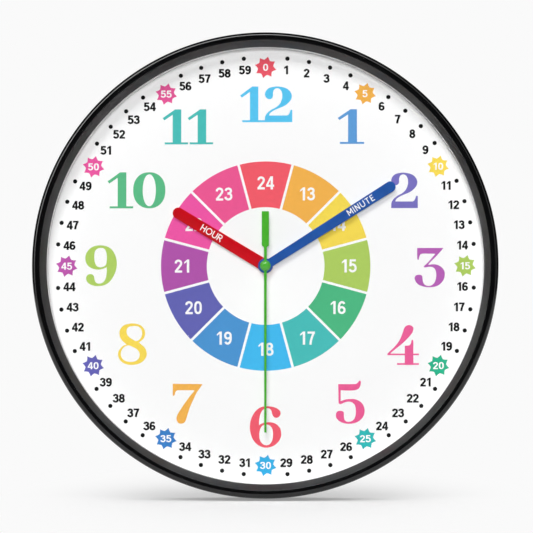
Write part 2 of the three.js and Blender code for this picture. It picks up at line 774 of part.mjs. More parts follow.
function makeMotionWheel() {
  const phase = meshedPhase(motionArborAngle, cannonTeeth, 0, motionTeeth);
  const wheelFront = layerFront(motionLayer);
  const pinionFront = layerFront(hourLayer) + pinionOverrun;
  return unionOf([
    toothedWheel(motionTeeth, cannonModule, phase, layerRear(motionLayer), wheelFront),
    toothedWheel(motionPinionTeeth, hourModule, 0, wheelFront, pinionFront),
    rod(knobArborRadius, knobRearZ, wheelFront),
    rod(arborRadius, wheelFront, caseInnerZ + pivotDepth, [0, 0], fineSegments),
  ]).translate([...motionArbor, 0]);
}

function makeHourWheel() {
  const phase = meshedPhase(motionArborAngle + Math.PI, motionPinionTeeth, 0, hourTeeth);
  const rear = layerRear(hourLayer);
  const top = hourHandFrontZ + pinionOverrun;
  return unionOf([
    toothedWheel(hourTeeth, hourModule, phase, rear, layerFront(hourLayer)),
    rod(hourPipeRadius, rear, top),
  ]).subtract(rod(hourPipeBore, rear - overrun, top + overrun));
}

function makeSetKnob() {
  const pointsPerFlute = 3;
  const outline = aroundCircle(knobFluteCount * pointsPerFlute).map((angle) => {
    const flute = (1 - Math.cos(angle * knobFluteCount)) / 2;
    return pointAt(angle, knobRadius - knobFluteDepth * flute);
  });
  const front = knobRearZ + knobThickness;
  const knob = extrude(polygon(outline), knobRearZ, front);
  const bore = rod(knobArborRadius + fitGap, knobRearZ - overrun, front + overrun);
  return knob.subtract(bore).translate([...motionArbor, 0]);
}

// Movement case: the front moulding holds the works and the open battery bay

function makeFrontCase() {
  const outerX = [-caseHalfWidth, caseHalfWidth];
  const innerX = [-bayHalfLength, bayHalfLength];
  const worksRimZ = coverInnerZ + fitGap;
  const worksShape = roundedBox(outerX, [caseBottom, caseTop], caseCornerRadius);
  const bayShape = roundedBox(outerX, [caseBottom, dividerTop], caseCornerRadius);
  const works = extrude(worksShape, worksRimZ, caseFrontZ);
  const bay = extrude(bayShape, bayRimZ, caseFrontZ);
  const rearCut = Math.min(bayRimZ, worksRimZ) - overrun;
  const worksPocket = block(innerX, [dividerTop, worksTop], [rearCut, caseInnerZ]);
  const bayPocket = block(innerX, [bayBottom, dividerBottom], [rearCut, caseInnerZ]);
  const notchDepth = contactThickness + 2 * fitGap;
  const notchZ = [rearCut, contactTailZ + contactTailWidth / 2 + fitGap];
  const notchY = [dividerBottom - overrun, dividerTop + overrun];
  const notches = [
    block([-bayHalfLength, -bayHalfLength + notchDepth], notchY, notchZ),
    block([bayHalfLength - notchDepth, bayHalfLength], notchY, notchZ),
  ];
  const bush = rod(bushRadius, caseInnerZ, dialFrontZ + fitGap);
  const bore = rod(bushBore, caseInnerZ - overrun, dialFrontZ + fitGap + overrun);
  const postRearZ = coreRearZ + coreThickness + fitGap;
  const posts = coreEnds().map((end) => rod(postRadius, postRearZ, caseFrontZ, end));
  const pivotCut = [caseInnerZ - overrun, caseInnerZ + pivotDepth + fitGap];
  const pivots = [thirdArbor, motionArbor, intermediateArbor, rotorArbor].map((arbor) =>
    rod(arborRadius + fitGap, ...pivotCut, arbor, fineSegments));
  const hollow = cutFrom(unionOf([works, bay]), [worksPocket, bayPocket, ...notches]);
  return cutFrom(unionOf([hollow, bush, ...posts]), [bore, ...pivots]);
}

function makeRearCover() {
  const plate = extrude(
    roundedBox([-caseHalfWidth, caseHalfWidth], [dividerTop + fitGap, caseTop], caseCornerRadius),
    coverRearZ,
    coverInnerZ,
  );
  const skirtX = bayHalfLength - fitGap;
  const skirtY = [dividerTop + fitGap, worksTop - fitGap];
  const skirtFront = coverInnerZ + caseWall;
  const skirt = block([-skirtX, skirtX], skirtY, [coverInnerZ, skirtFront]).subtract(
    block(
      [-skirtX + caseWall, skirtX - caseWall],
      [skirtY[0] - overrun, skirtY[1] - caseWall],
      [coverInnerZ, skirtFront + overrun],
    ),
  );
  const cut = [coverRearZ - overrun, coverInnerZ + overrun];
  const pivots = [[0, 0], thirdArbor, intermediateArbor, rotorArbor].map((arbor) =>
    rod(arborRadius + fitGap, ...cut, arbor, fineSegments));
  const knobHole = rod(knobArborRadius + fitGap, ...cut, motionArbor);
  return cutFrom(plate.add(skirt), [...pivots, knobHole]);
}

// Stepping motor: a stator plate with the rotor in its hole, closed by the core of the coil

function coreEnds() {
  const offset = statorReach - statorArmWidth / 2;
  return [[rotorArbor[0] - offset, coilY], [rotorArbor[0] + offset, coilY]];
}

function makeStator() {
  const [x, y] = rotorArbor;
  const top = coilY + coreWidth / 2;
  const shoulder = y + statorRingRadius;
  const inner = statorReach - statorArmWidth;
  const shape = new THREE.Shape();
  shape.moveTo(x - statorReach, top);
  shape.lineTo(x - statorReach, shoulder);
  shape.lineTo(x - statorRingRadius, y);
  shape.absarc(x, y, statorRingRadius, Math.PI, Math.PI * 2);
  shape.lineTo(x + statorReach, shoulder);
  shape.lineTo(x + statorReach, top);
  shape.lineTo(x + inner, top);
  shape.lineTo(x + inner, shoulder);
  shape.lineTo(x - inner, shoulder);
  shape.lineTo(x - inner, top);
  const plate = extrude(shape, statorRearZ, statorFrontZ, arcSegments);
  const cut = [statorRearZ - overrun, statorFrontZ + overrun];
  const hole = rod(statorHoleRadius, ...cut, rotorArbor, bodySegments);
  return plate.subtract(hole);
}

function makeCoilCore() {
  const [left, right] = coreEnds();
  const half = statorArmWidth / 2;
  return block(
    [left[0] - half, right[0] + half],
    [coilY - coreWidth / 2, coilY + coreWidth / 2],
    [coreRearZ, coreRearZ + coreThickness],
  );
}

// A square sleeve along x, given by how far it stands off the core
function coilSleeve(innerOffset, outerOffset, halfLength) {
  const sleeveBox = (offset, reach) => block(
    [rotorArbor[0] - reach, rotorArbor[0] + reach],
    [coilY - coreWidth / 2 - offset, coilY + coreWidth / 2 + offset],
    [coilAxisZ - coreThickness / 2 - offset, coilAxisZ + coreThickness / 2 + offset],
  );
  return sleeveBox(outerOffset, halfLength).subtract(sleeveBox(innerOffset, halfLength + overrun));
}

function makeBobbin() {
  const tubeOuter = fitGap + bobbinWall;
  const flangeOuter = tubeOuter + fitGap + windingBuild + flangeRise;
  const flange = coilSleeve(fitGap, flangeOuter, flangeWidth / 2);
  const flangeOffset = coilHalfLength - flangeWidth / 2;
  return unionOf([
    coilSleeve(fitGap, tubeOuter, coilHalfLength),
    flange.translate([-flangeOffset, 0, 0]),
    flange.translate([flangeOffset, 0, 0]),
  ]);
}

function makeWinding() {
  const inner = fitGap + bobbinWall + fitGap;
  return coilSleeve(inner, inner + windingBuild, coilHalfLength - flangeWidth - fitGap);
}

// Circuit board on the rear cover, with the quartz crystal and the chip under its blob

const boardRight = bayHalfLength - caseWall - 3 * fitGap - contactThickness;
const boardTop = worksTop - caseWall - 2 * fitGap;
const boardFrontZ = coverInnerZ + fitGap + boardThickness;

function makeBoard() {
  return block(
    [boardRight - boardWidth, boardRight],
    [boardTop - boardHeight, boardTop],
    [coverInnerZ + fitGap, boardFrontZ],
  );
}

function makeCrystal() {
  const can = rod(crystalRadius, 0, crystalLength).rotate([0, 90, 0]);
  const x = boardRight - boardWidth / 2;
  const y = boardTop - crystalRadius - fitGap;
  return can.translate([x, y, boardFrontZ + fitGap + crystalRadius]);
}

function makeChip() {
  const steps = 4;
  const profile = [[0, 0]];
  for (let i = 0; i <= steps; i += 1) {
    const angle = (Math.PI / 2) * (i / steps);
    const radius = i < steps ? chipRadius * Math.cos(angle) : 0;
    profile.push([radius, chipHeight * Math.sin(angle)]);
  }
  const x = boardRight - boardWidth + chipRadius + fitGap;
  const y = boardTop - boardHeight + chipRadius + fitGap;
  return revolve(profile, smallSegments).translate([x, y, boardFrontZ + fitGap]);
}

// Battery and its contacts: a flat tab at the positive end, a bowed spring leaf at the other

function makeBattery() {
  const body = rod(batteryDiameter / 2, 0, batteryLength - batteryNubLength, [0, 0], bodySegments);
  const nub = rod(batteryNubRadius, 0, batteryLength);
  return body.add(nub)
    .rotate([0, 90, 0])
    .translate([batteryRearX, batteryY, batteryAxisZ]);
}

function contactTab(side) {
  const outer = side * (bayHalfLength - fitGap);
  const inner = outer - side * contactThickness;
  const spanX = [Math.min(inner, outer), Math.max(inner, outer)];
  const half = contactWidth / 2;
  const tail = contactTailWidth / 2;
  const plate = block(
    spanX,
    [batteryY - half, batteryY + half],
    [batteryAxisZ - half, batteryAxisZ + half],
  );
  const strip = block(
    spanX,
    [batteryY, dividerTop + contactTailReach],
    [contactTailZ - tail, contactTailZ + tail],
  );
  return plate.add(strip);
}

function makePositiveContact() {
  return contactTab(1);
}

function makeNegativeContact() {
  const steps = 6;
  const sunk = contactThickness / 2;
  const root = -bayHalfLength + fitGap + contactThickness - sunk;
  const bow = springBow + sunk - contactThickness;
  const bowed = (offset) => Array.from({ length: steps + 1 }, (_, i) => {
    const share = i / steps;
    const x = root + offset + bow * Math.sin(Math.PI * share);
    return [x, batteryY + contactWidth * (share - 1 / 2)];
  });
  const leaf = polygon([...bowed(0), ...bowed(contactThickness).reverse()]);
  const springHalf = springWidth / 2;
  const spring = extrude(leaf, batteryAxisZ - springHalf, batteryAxisZ + springHalf);
  return contactTab(-1).add(spring);
}

// Assembly

place('frame', makeFrame(), 'blackGloss');
place('lens', makeLens(), 'clear');
place('dial', makeDial(), 'whitePrint');
place('back_plate', makeBackPlate(), 'blackMatt');
aroundCircle(screwCount, firstScrewAngle).forEach((angle, i) => {
  place(`back_screw_${i + 1}`, makeScrew(angle), 'steel');
});
place('movement_front_case', makeFrontCase(), 'greyPlastic');
place('movement_rear_cover', makeRearCover(), 'greyPlastic');
place('hour_hand', makeHourHand(), 'redPaint');
place('minute_hand', makeMinuteHand(), 'bluePaint');
place('second_hand', makeSecondHand(), 'greenPaint');
place('rotor', makeRotor(), 'magnet');
place('intermediate_wheel', makeIntermediateWheel(), 'whiteNylon');
place('seconds_wheel', makeSecondsWheel(), 'whiteNylon');
place('third_wheel', makeThirdWheel(), 'whiteNylon');
place('minute_wheel', makeMinuteWheel(), 'whiteNylon');
place('cannon_pinion', makeCannonPinion(), 'whiteNylon');
place('motion_wheel', makeMotionWheel(), 'whiteNylon');
place('hour_wheel', makeHourWheel(), 'whiteNylon');
place('set_knob', makeSetKnob(), 'greyPlastic');
place('stator', makeStator(), 'steel');
place('coil_core', makeCoilCore(), 'steel');
place('coil_bobbin', makeBobbin(), 'whiteNylon');
place('coil_winding', makeWinding(), 'copper');
place('circuit_board', makeBoard(), 'circuitBoard');
place('quartz_crystal', makeCrystal(), 'steel');
place('circuit_chip', makeChip(), 'blackEpoxy');
place('positive_contact', makePositiveContact(), 'steel');
place('negative_contact', makeNegativeContact(), 'steel');
place('battery', makeBattery(), 'batteryJacket');

// Stand the clock up and hang it: bench +z becomes -Y, +y becomes +Z, the nail is the origin
bench.rotation.x = Math.PI / 2;
bench.position.z = -nailSeat;
const clock = new THREE.Group();
clock.name = 'teaching_wall_clock';
clock.add(bench);

export default clock;
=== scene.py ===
import functools
import math
import bmesh
import bpy
from mathutils import Matrix, Vector
from mathutils.geometry import delaunay_2d_cdt


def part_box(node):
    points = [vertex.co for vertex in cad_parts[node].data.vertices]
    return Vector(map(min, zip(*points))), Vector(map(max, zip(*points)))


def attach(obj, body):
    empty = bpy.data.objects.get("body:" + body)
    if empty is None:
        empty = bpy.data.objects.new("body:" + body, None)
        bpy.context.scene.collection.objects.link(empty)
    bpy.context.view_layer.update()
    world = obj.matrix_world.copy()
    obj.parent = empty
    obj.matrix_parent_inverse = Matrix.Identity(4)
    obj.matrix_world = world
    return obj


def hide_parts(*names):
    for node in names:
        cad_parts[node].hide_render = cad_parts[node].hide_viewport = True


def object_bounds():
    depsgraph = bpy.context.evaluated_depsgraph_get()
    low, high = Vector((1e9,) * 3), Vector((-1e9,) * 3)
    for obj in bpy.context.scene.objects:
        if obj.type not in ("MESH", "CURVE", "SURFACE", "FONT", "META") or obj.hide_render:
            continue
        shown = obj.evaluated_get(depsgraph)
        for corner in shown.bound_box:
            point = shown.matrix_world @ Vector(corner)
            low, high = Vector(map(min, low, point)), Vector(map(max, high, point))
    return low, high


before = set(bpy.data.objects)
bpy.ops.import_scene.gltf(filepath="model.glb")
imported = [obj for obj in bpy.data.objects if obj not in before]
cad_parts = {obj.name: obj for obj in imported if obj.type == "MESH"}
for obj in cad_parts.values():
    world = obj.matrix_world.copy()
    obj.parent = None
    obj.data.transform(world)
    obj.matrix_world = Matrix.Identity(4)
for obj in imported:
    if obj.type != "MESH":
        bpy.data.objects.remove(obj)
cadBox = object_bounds()
scene = bpy.context.scene
scene.view_settings.view_transform = 'Standard'

# Everything is drawn on a bench in millimetres: the wall is z = 0, the hand axis is z, 12 is at +y
dialLow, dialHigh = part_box('dial')
handAxisHeight = (dialLow.z + dialHigh.z) / 2
fullTurn = 2 * math.pi
upright = math.pi / 2
benchToWorld = (Matrix.Translation((0, 0, handAxisHeight))
                @ Matrix.Rotation(upright, 4, 'X') @ Matrix.Scale(0.001, 4))


def depthOf(node):
    low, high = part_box(node)
    return -high.y * 1000, -low.y * 1000  # rear and front face in bench millimetres


def bytesOf(hexColour):
    return [int(hexColour[i:i + 2], 16) for i in (1, 3, 5)]


def linear(hexColour):
    channels = [c / 255 for c in bytesOf(hexColour)]
    return (*[c / 12.92 if c <= 0.04045 else ((c + 0.055) / 1.055) ** 2.4 for c in channels], 1)


def addNode(tree, kind, inputs=None, **settings):
    # an input takes a value, an output socket, or a node, whose first output is then meant
    node = tree.nodes.new(kind)
    for name, value in settings.items():
        setattr(node, name, value)
    for socket, value in (inputs or {}).items():
        if isinstance(value, bpy.types.Node):
            value = value.outputs[0]
        if isinstance(value, bpy.types.NodeSocket):
            tree.links.new(value, node.inputs[socket])
        else:
            node.inputs[socket].default_value = value
    return node


def calc(tree, operation, *terms):
    return addNode(tree, 'ShaderNodeMath', dict(enumerate(terms)), operation=operation)


def ramp(tree, value, low, high, start=0.0, end=1.0, shape='SMOOTHSTEP'):
    # start where the value is low, end where it is high
    return addNode(tree, 'ShaderNodeMapRange', {
        'Value': value, 'From Min': low, 'From Max': high, 'To Min': start, 'To Max': end,
    }, interpolation_type=shape)


def mixColour(tree, share, first, second):
    mix = addNode(tree, 'ShaderNodeMix', {0: share, 6: first, 7: second}, data_type='RGBA')
    return mix.outputs[2]


def emptyTree(owner):
    owner.use_nodes = True
    owner.node_tree.nodes.clear()
    return owner.node_tree


# Camera: far off with a long lens, a little to the right of the clock and below the hands

cameraView = {
    'distance': 2.4,  # metres from the crest of the frame
    'azimuth': 1.5,  # degrees to the right of straight on
    'elevation': -2.2,
    'aimRight': 0.0011,
    'aimUp': -0.0011,
    'focalLength': 252.5,
    'sensor': 36,
}


def setCamera(view):
    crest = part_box('frame')[0].y
    aim = Vector((view['aimRight'], crest, handAxisHeight + view['aimUp']))
    azimuth = math.radians(view['azimuth'])
    elevation = math.radians(view['elevation'])
    away = Vector((math.sin(azimuth) * math.cos(elevation),
                   -math.cos(azimuth) * math.cos(elevation), math.sin(elevation)))
    data = bpy.data.cameras.new('camera')
    data.sensor_width = view['sensor']
    data.lens = view['focalLength']
    data.clip_end = 50
    camera = bpy.data.objects.new('camera', data)
    camera.location = aim + away * view['distance']
    camera.rotation_euler = (-away).to_track_quat('-Z', 'Y').to_euler()
    scene.collection.objects.link(camera)
    scene.camera = camera


setCamera(cameraView)
print('camera set')

# Studio: a key from the upper left, a broad fill from the front and a top light over the floor

studio = {
    'suns': [  # name, direction towards the lamp, strength, angular size in degrees
        ('key', (-0.16, -1.0, 0.68), 1.53, 24),
        ('fill', (0.03, -1.0, 0.03), 2.24, 14),
        ('top', (0.0, 0.7, 1.0), 1.4, 64),
        ('table', (0.0, -0.7, 1.0), 2.35, 64),
    ],
    'reach': {'key': 'clock', 'fill': 'clock', 'table': 'floor'},  # what each lamp is flagged to
    'background': '#FAFAFA',
    'strip': (0.64, 0.06),  # gloss sees a ring of light at this cosine from straight ahead
    'stripLow': 2.0,
    'stripHigh': 12.0,  # where the ring passes the key
    'stripKey': (-0.40, -0.55, 0.68),
    'stripEdges': (0.60, 0.97),
    'frontDark': 0.015,  # the room in front and to the sides; behind the clock it is white
    'roomEdges': (-0.97, -0.80),
    'floorFade': (0.02, 0.42),  # metres from the foot over which the floor turns to plain backdrop
    'floorSqueeze': 2.4,  # sideways that happens in this many times fewer metres
    'floorGlow': 0.3,  # how much of the backdrop's plain white the floor already has at the foot
    'floorSize': 3,
    'floorTilt': 2.2,  # degrees up to the back, as if the clock leaned back on a level table
    'paper': '#FAFAFA',
    'floorBounce': '#2C2C2C',  # how light the floor looks to the clock
}


def setLights(setup):
    for name, direction, strength, size in setup['suns']:
        data = bpy.data.lights.new(name, 'SUN')
        data.energy = strength
        data.angle = math.radians(size)
        lamp = bpy.data.objects.new(name, data)
        lamp.rotation_euler = Vector(direction).to_track_quat('Z', 'Y').to_euler()
        lamp.visible_glossy = False
        scene.collection.objects.link(lamp)


def setWorld(setup):
    world = bpy.data.worlds.new('studio')
    scene.world = world
    tree = emptyTree(world)
    white = linear(setup['background'])
    towards = addNode(tree, 'ShaderNodeTexCoord').outputs['Generated']
    front, key = [addNode(tree, 'ShaderNodeVectorMath', {0: towards, 1: Vector(aim).normalized()},
                          operation='DOT_PRODUCT').outputs['Value']
                  for aim in ((0, -1, 0), setup['stripKey'])]
    room = ramp(tree, front, *setup['roomEdges'], white[0], setup['frontDark'])
    level = ramp(tree, key, *setup['stripEdges'], setup['stripLow'], setup['stripHigh'])
    strip = calc(tree, 'COMPARE', front, *setup['strip'])
    ringed = calc(tree, 'MULTIPLY_ADD', strip, level, room)
    rays = addNode(tree, 'ShaderNodeLightPath').outputs
    gloss = calc(tree, 'MAXIMUM', rays['Is Glossy Ray'], rays['Is Transmission Ray'])
    colour = mixColour(tree, rays['Is Camera Ray'], mixColour(tree, gloss, room, ringed), white)
    background = addNode(tree, 'ShaderNodeBackground', {'Color': colour})
    addNode(tree, 'ShaderNodeOutputWorld', {'Surface': background})


def setFloor(setup):
    sweep = bpy.data.materials.new('pale_paper_sweep')  # matt paper: holds a soft shadow, no shine
    tree = emptyTree(sweep)
    place = addNode(tree, 'ShaderNodeTexCoord').outputs['Object']
    flat = addNode(tree, 'ShaderNodeVectorMath', {0: place, 1: (setup['floorSqueeze'], 1, 0)},
                   operation='MULTIPLY')
    reach = addNode(tree, 'ShaderNodeVectorMath', {0: flat}, operation='LENGTH').outputs['Value']
    fade = ramp(tree, reach, *setup['floorFade'], setup['floorGlow'])
    rays = addNode(tree, 'ShaderNodeLightPath').outputs
    direct = calc(tree, 'MAXIMUM', rays['Is Camera Ray'], rays['Is Glossy Ray'])
    shown = calc(tree, 'MAXIMUM', direct, rays['Is Transmission Ray'])
    tone = mixColour(tree, rays['Is Diffuse Ray'], linear(setup['paper']),
                     linear(setup['floorBounce']))
    paper = addNode(tree, 'ShaderNodeBsdfPrincipled', {
        'Base Color': tone, 'Roughness': 1, 'Specular IOR Level': 0})
    plain = addNode(tree, 'ShaderNodeEmission', {'Color': linear(setup['background'])})
    mix = addNode(tree, 'ShaderNodeMixShader', {
        0: calc(tree, 'MULTIPLY', fade, shown), 1: paper, 2: plain})
    addNode(tree, 'ShaderNodeOutputMaterial', {'Surface': mix})
    half, foot = setup['floorSize'] / 2, cadBox[0][2]
    rise = half * math.tan(math.radians(setup['floorTilt']))
    mesh = bpy.data.meshes.new('floor')
    corners = [(-half, -half, foot - rise), (half, -half, foot - rise),
               (half, half, foot + rise), (-half, half, foot + rise)]
    mesh.from_pydata(corners, [], [(0, 1, 2, 3)])
    mesh.materials.append(sweep)
    floor = bpy.data.objects.new('floor', mesh)
    floor.visible_shadow = False  # the fill is almost level with the floor
    scene.collection.objects.link(floor)
    for name, target in setup['reach'].items():
        lit = bpy.data.collections.new(name + '_reach')
        lit.objects.link(floor)
        state = 'EXCLUDE' if target == 'clock' else 'INCLUDE'
        lit.collection_objects[0].light_linking.link_state = state
        bpy.data.objects[name].light_linking.receiver_collection = lit


setLights(studio)
setWorld(studio)
setFloor(studio)
print('studio set')

# Finishes: each look is a colour pair, a mottle, a roughness range and a relief, sized in mm


def makeFinish(name, look):
    skin = bpy.data.materials.new(name)
    tree = emptyTree(skin)
    place = addNode(tree, 'ShaderNodeTexCoord').outputs['Object']
    stretch = addNode(tree, 'ShaderNodeMapping', {
        'Vector': place, 'Scale': look.get('stretch', (1, 1, 1))})
    mottle = addNode(tree, 'ShaderNodeTexNoise', {
        'Vector': stretch, 'Scale': 1000 / look['mottle'], 'Detail': 3, 'Roughness': 0.6})
    grain = addNode(tree, 'ShaderNodeTexNoise', {
        'Vector': stretch, 'Scale': 1000 / look['grain'], 'Detail': 2, 'Roughness': 0.5})
    spread, shine = [ramp(tree, mottle, 0.3, 0.7, *ends, shape='LINEAR')
                     for ends in ((0, 1), look['roughness'])]
    relief = addNode(tree, 'ShaderNodeBump', {
        'Height': grain, 'Strength': look.get('strength', 0.5), 'Distance': look['relief'] / 1000})
    shader = addNode(tree, 'ShaderNodeBsdfPrincipled', {
        'Base Color': mixColour(tree, spread, *[linear(c) for c in look['colours']]),
        'Roughness': shine, 'Normal': relief, **look.get('sockets', {})})
    addNode(tree, 'ShaderNodeOutputMaterial', {'Surface': shader})
    return skin


def printedInk(name, hexColour):
    # screen-printed ink: matt, with the faint unevenness of a pulled screen, about 2 mm across
    deeper = '#' + ''.join(f'{round(c * 0.965):02x}' for c in bytesOf(hexColour))
    return makeFinish(name, {'colours': (deeper, hexColour), 'mottle': 2.2, 'grain': 0.35,
                             'relief': 0.004, 'roughness': (0.48, 0.6),
                             'sockets': {'Specular IOR Level': 0.25}})


finishes = {
    # ABS from a polished mould: deep black with a wet shine and the faintest waviness
    'frame_plastic': {'colours': ('#060607', '#0A0A0B'), 'mottle': 14, 'grain': 5, 'relief': 0.004,
                      'roughness': (0.10, 0.16), 'strength': 0.3, 'sockets': {'IOR': 1.53}},
    # the same moulding where the tool was left satin: the inner slope blurs what it mirrors
    'frame_satin': {'colours': ('#070708', '#0B0B0C'), 'mottle': 12, 'grain': 0.8,
                    'relief': 0.006, 'roughness': (0.34, 0.40), 'sockets': {'IOR': 1.53}},
    # coated card: flat matt white with a trace of fibre under the print
    'dial_print': {'colours': ('#F8F8F8', '#FBFBFB'), 'mottle': 1.4, 'grain': 0.5,
                   'relief': 0.006, 'roughness': (0.62, 0.78),
                   'sockets': {'Specular IOR Level': 0.2}},
    # white polystyrene, polished: seen so low that it mirrors the dial and hardly reads as a wall
    'hoop_plastic': {'colours': ('#F8F8F8', '#FCFCFC'), 'mottle': 6, 'grain': 3, 'relief': 0.002,
                     'roughness': (0.06, 0.12), 'strength': 0.2, 'sockets': {'IOR': 1.59}},
    # ABS from a spark-eroded mould: dull black with a fine even pebble, drawn 0.6 mm coarse
    'back_plastic': {'colours': ('#151517', '#1D1D20'), 'mottle': 9, 'grain': 0.6, 'relief': 0.05,
                     'roughness': (0.5, 0.66), 'sockets': {'IOR': 1.53}},
    # zinc-plated steel: bright grey with a slight yellow-blue drift
    'screw_steel': {'colours': ('#9EA3A8', '#C6C7C4'), 'mottle': 0.9, 'grain': 0.25,
                    'relief': 0.01, 'roughness': (0.28, 0.42), 'sockets': {'Metallic': 1}},
    # ABS movement case: charcoal, satin, moulded with a finer pebble than the back
    'case_plastic': {'colours': ('#242529', '#2E3034'), 'mottle': 6, 'grain': 0.45,
                     'relief': 0.03, 'roughness': (0.42, 0.55), 'sockets': {'IOR': 1.53}},
    # stoved enamel on stamped aluminium: even satin gloss with a light orange peel
    'hour_hand_paint': {'colours': ('#B8000E', '#C90015'), 'mottle': 7, 'grain': 0.9,
                        'relief': 0.012, 'roughness': (0.30, 0.38), 'sockets': {'IOR': 1.5}},
    'minute_hand_paint': {'colours': ('#1B4C96', '#2357A8'), 'mottle': 7, 'grain': 0.9,
                          'relief': 0.012, 'roughness': (0.30, 0.38), 'sockets': {'IOR': 1.5}},
    # injection-moulded ABS, coloured through: the same green on the needle and its cap
    'second_hand_plastic': {'colours': ('#46AC2C', '#50BA35'), 'mottle': 5, 'grain': 1.2,
                            'relief': 0.002, 'roughness': (0.05, 0.10), 'sockets': {'IOR': 1.53}},
    # sintered ferrite: dark grey, dull and slightly open
    'magnet': {'colours': ('#3A3A3D', '#56565A'), 'mottle': 0.7, 'grain': 0.2, 'relief': 0.02,
               'roughness': (0.45, 0.6), 'sockets': {'Metallic': 0.6}},
    # acetal gears: milky white and waxy
    'wheel_nylon': {'colours': ('#E6E3DA', '#F0EEE7'), 'mottle': 3, 'grain': 0.4, 'relief': 0.008,
                    'roughness': (0.38, 0.5),
                    'sockets': {'Subsurface Weight': 0.2, 'Subsurface Scale': 0.001}},
    'knob_plastic': {'colours': ('#17181A', '#1F2022'), 'mottle': 3, 'grain': 0.35,
                     'relief': 0.02, 'roughness': (0.4, 0.5), 'sockets': {'IOR': 1.53}},
    # silicon-iron sheet: punched, with the rolling direction along x
    'motor_iron': {'colours': ('#8B8E92', '#A9ABAD'), 'mottle': 0.5, 'grain': 0.15,
                   'relief': 0.01, 'roughness': (0.34, 0.46), 'stretch': (0.08, 1, 1),
                   'sockets': {'Metallic': 1}},
    # enamelled copper wire 0.1 mm thick, wound in close turns across the bobbin
    'copper_wire': {'colours': ('#8E3F1D', '#D07A45'), 'mottle': 0.16, 'grain': 0.16,
                    'relief': 0.05, 'roughness': (0.25, 0.4), 'stretch': (1, 0.03, 0.03),
                    'sockets': {'Metallic': 1, 'Coat Weight': 0.4}},
    # phenolic paper board: brown with a fine weave
    'board_laminate': {'colours': ('#8D6B31', '#A78346'), 'mottle': 0.8, 'grain': 0.3,
                       'relief': 0.01, 'roughness': (0.5, 0.65)},
    'chip_epoxy': {'colours': ('#0B0B0C', '#151516'), 'mottle': 1.2, 'grain': 0.6,
                   'relief': 0.03, 'roughness': (0.22, 0.35)},
    # nickel-plated spring steel, with the grain of the strip up the part
    'contact_steel': {'colours': ('#B1B3B3', '#CFCFCC'), 'mottle': 0.6, 'grain': 0.12,
                      'relief': 0.006, 'roughness': (0.22, 0.34), 'stretch': (1, 1, 0.1),
                      'sockets': {'Metallic': 1}},
    # shrunk vinyl jacket: plain green, glossy, slightly rippled where it tightened
    'battery_jacket': {'colours': ('#1F6B45', '#257A50'), 'mottle': 8, 'grain': 3,
                       'relief': 0.03, 'roughness': (0.2, 0.3), 'sockets': {'IOR': 1.5}},
    # the same film printed a warm gold at the positive end
    'battery_band': {'colours': ('#B98A2E', '#C79A3D'), 'mottle': 8, 'grain': 3,
                     'relief': 0.03, 'roughness': (0.2, 0.3), 'sockets': {'IOR': 1.5}},
}
finish = {slot: makeFinish(slot, look) for slot, look in finishes.items()}


def clearLens():
    # cast acrylic: nearly all light passes, and what is left is a clean shine
    glass = bpy.data.materials.new('lens_acrylic')
    tree = emptyTree(glass)
    shader = addNode(tree, 'ShaderNodeBsdfPrincipled', {
        'Base Color': linear('#3A3D3D'), 'Roughness': 0.03, 'IOR': 1.49, 'Alpha': 0.03})
    addNode(tree, 'ShaderNodeOutputMaterial', {'Surface': shader})
    return glass


finish['lens_glass'] = clearLens()
slotNodes = {
    'lens_glass': 'lens', 'back_plastic': 'back_plate', 'knob_plastic': 'set_knob',
    'case_plastic': 'movement_front_case movement_rear_cover', 'magnet': 'rotor',
    'wheel_nylon': 'intermediate_wheel seconds_wheel third_wheel minute_wheel cannon_pinion '
                   'motion_wheel hour_wheel coil_bobbin',
    'motor_iron': 'stator coil_core', 'copper_wire': 'coil_winding', 'chip_epoxy': 'circuit_chip',
    'board_laminate': 'circuit_board', 'contact_steel': 'positive_contact negative_contact',
    'battery_jacket': 'battery',
    'screw_steel': 'quartz_crystal ' + ' '.join(f'back_screw_{i}' for i in range(1, 7)),
}
slotOf = {node: slot for slot, nodes in slotNodes.items() for node in nodes.split()}
for node, slot in slotOf.items():
    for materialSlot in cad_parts[node].material_slots:
        materialSlot.material = finish[slot]
print('finishes made')

# Drawing: outlines, pen strokes, flat fills and solids, gathered as points and faces in sheets


def smoothLine(outline, closed=True):
    # 'x,y' is passed smoothly and 'x,y!' is a corner
    steps, words = 3, outline.split()
    points = [Vector([float(part) for part in word.rstrip('!').split(',')]) for word in words]
    corner = [word.endswith('!') for word in words]
    if not closed:
        corner[0] = corner[-1] = True
    line = []
    for i in range(len(points) if closed else len(points) - 1):
        j = (i + 1) % len(points)
        start, end = points[i], points[j]
        before = start if corner[i] else points[i - 1]
        after = end if corner[j] else points[(j + 1) % len(points)]
        count = 1 if corner[i] and corner[j] else steps
        for step in range(count):
            t = step / count
            line.append((2 * start + (end - before) * t
                         + (2 * before - 5 * start + 4 * end - after) * t ** 2
                         + (3 * start - before - 3 * end + after) * t ** 3) / 2)
    if not closed:
        line.append(points[-1])
    return line


def penStroke(line, width):
    left, right = [], []
    for i, point in enumerate(line):
        back = point - line[i - 1] if i > 0 else line[1] - line[0]
        ahead = line[i + 1] - point if i + 1 < len(line) else back
        back, ahead = back.normalized(), ahead.normalized()
        along = (back + ahead).normalized()
        # the line keeps its width round a bend, up to a limit
        side = Vector((-along.y, along.x)) * width / 2 / max(along.dot(ahead), 0.5)
        left.append(point + side)
        right.append(point - side)
    return left[::-1] + right


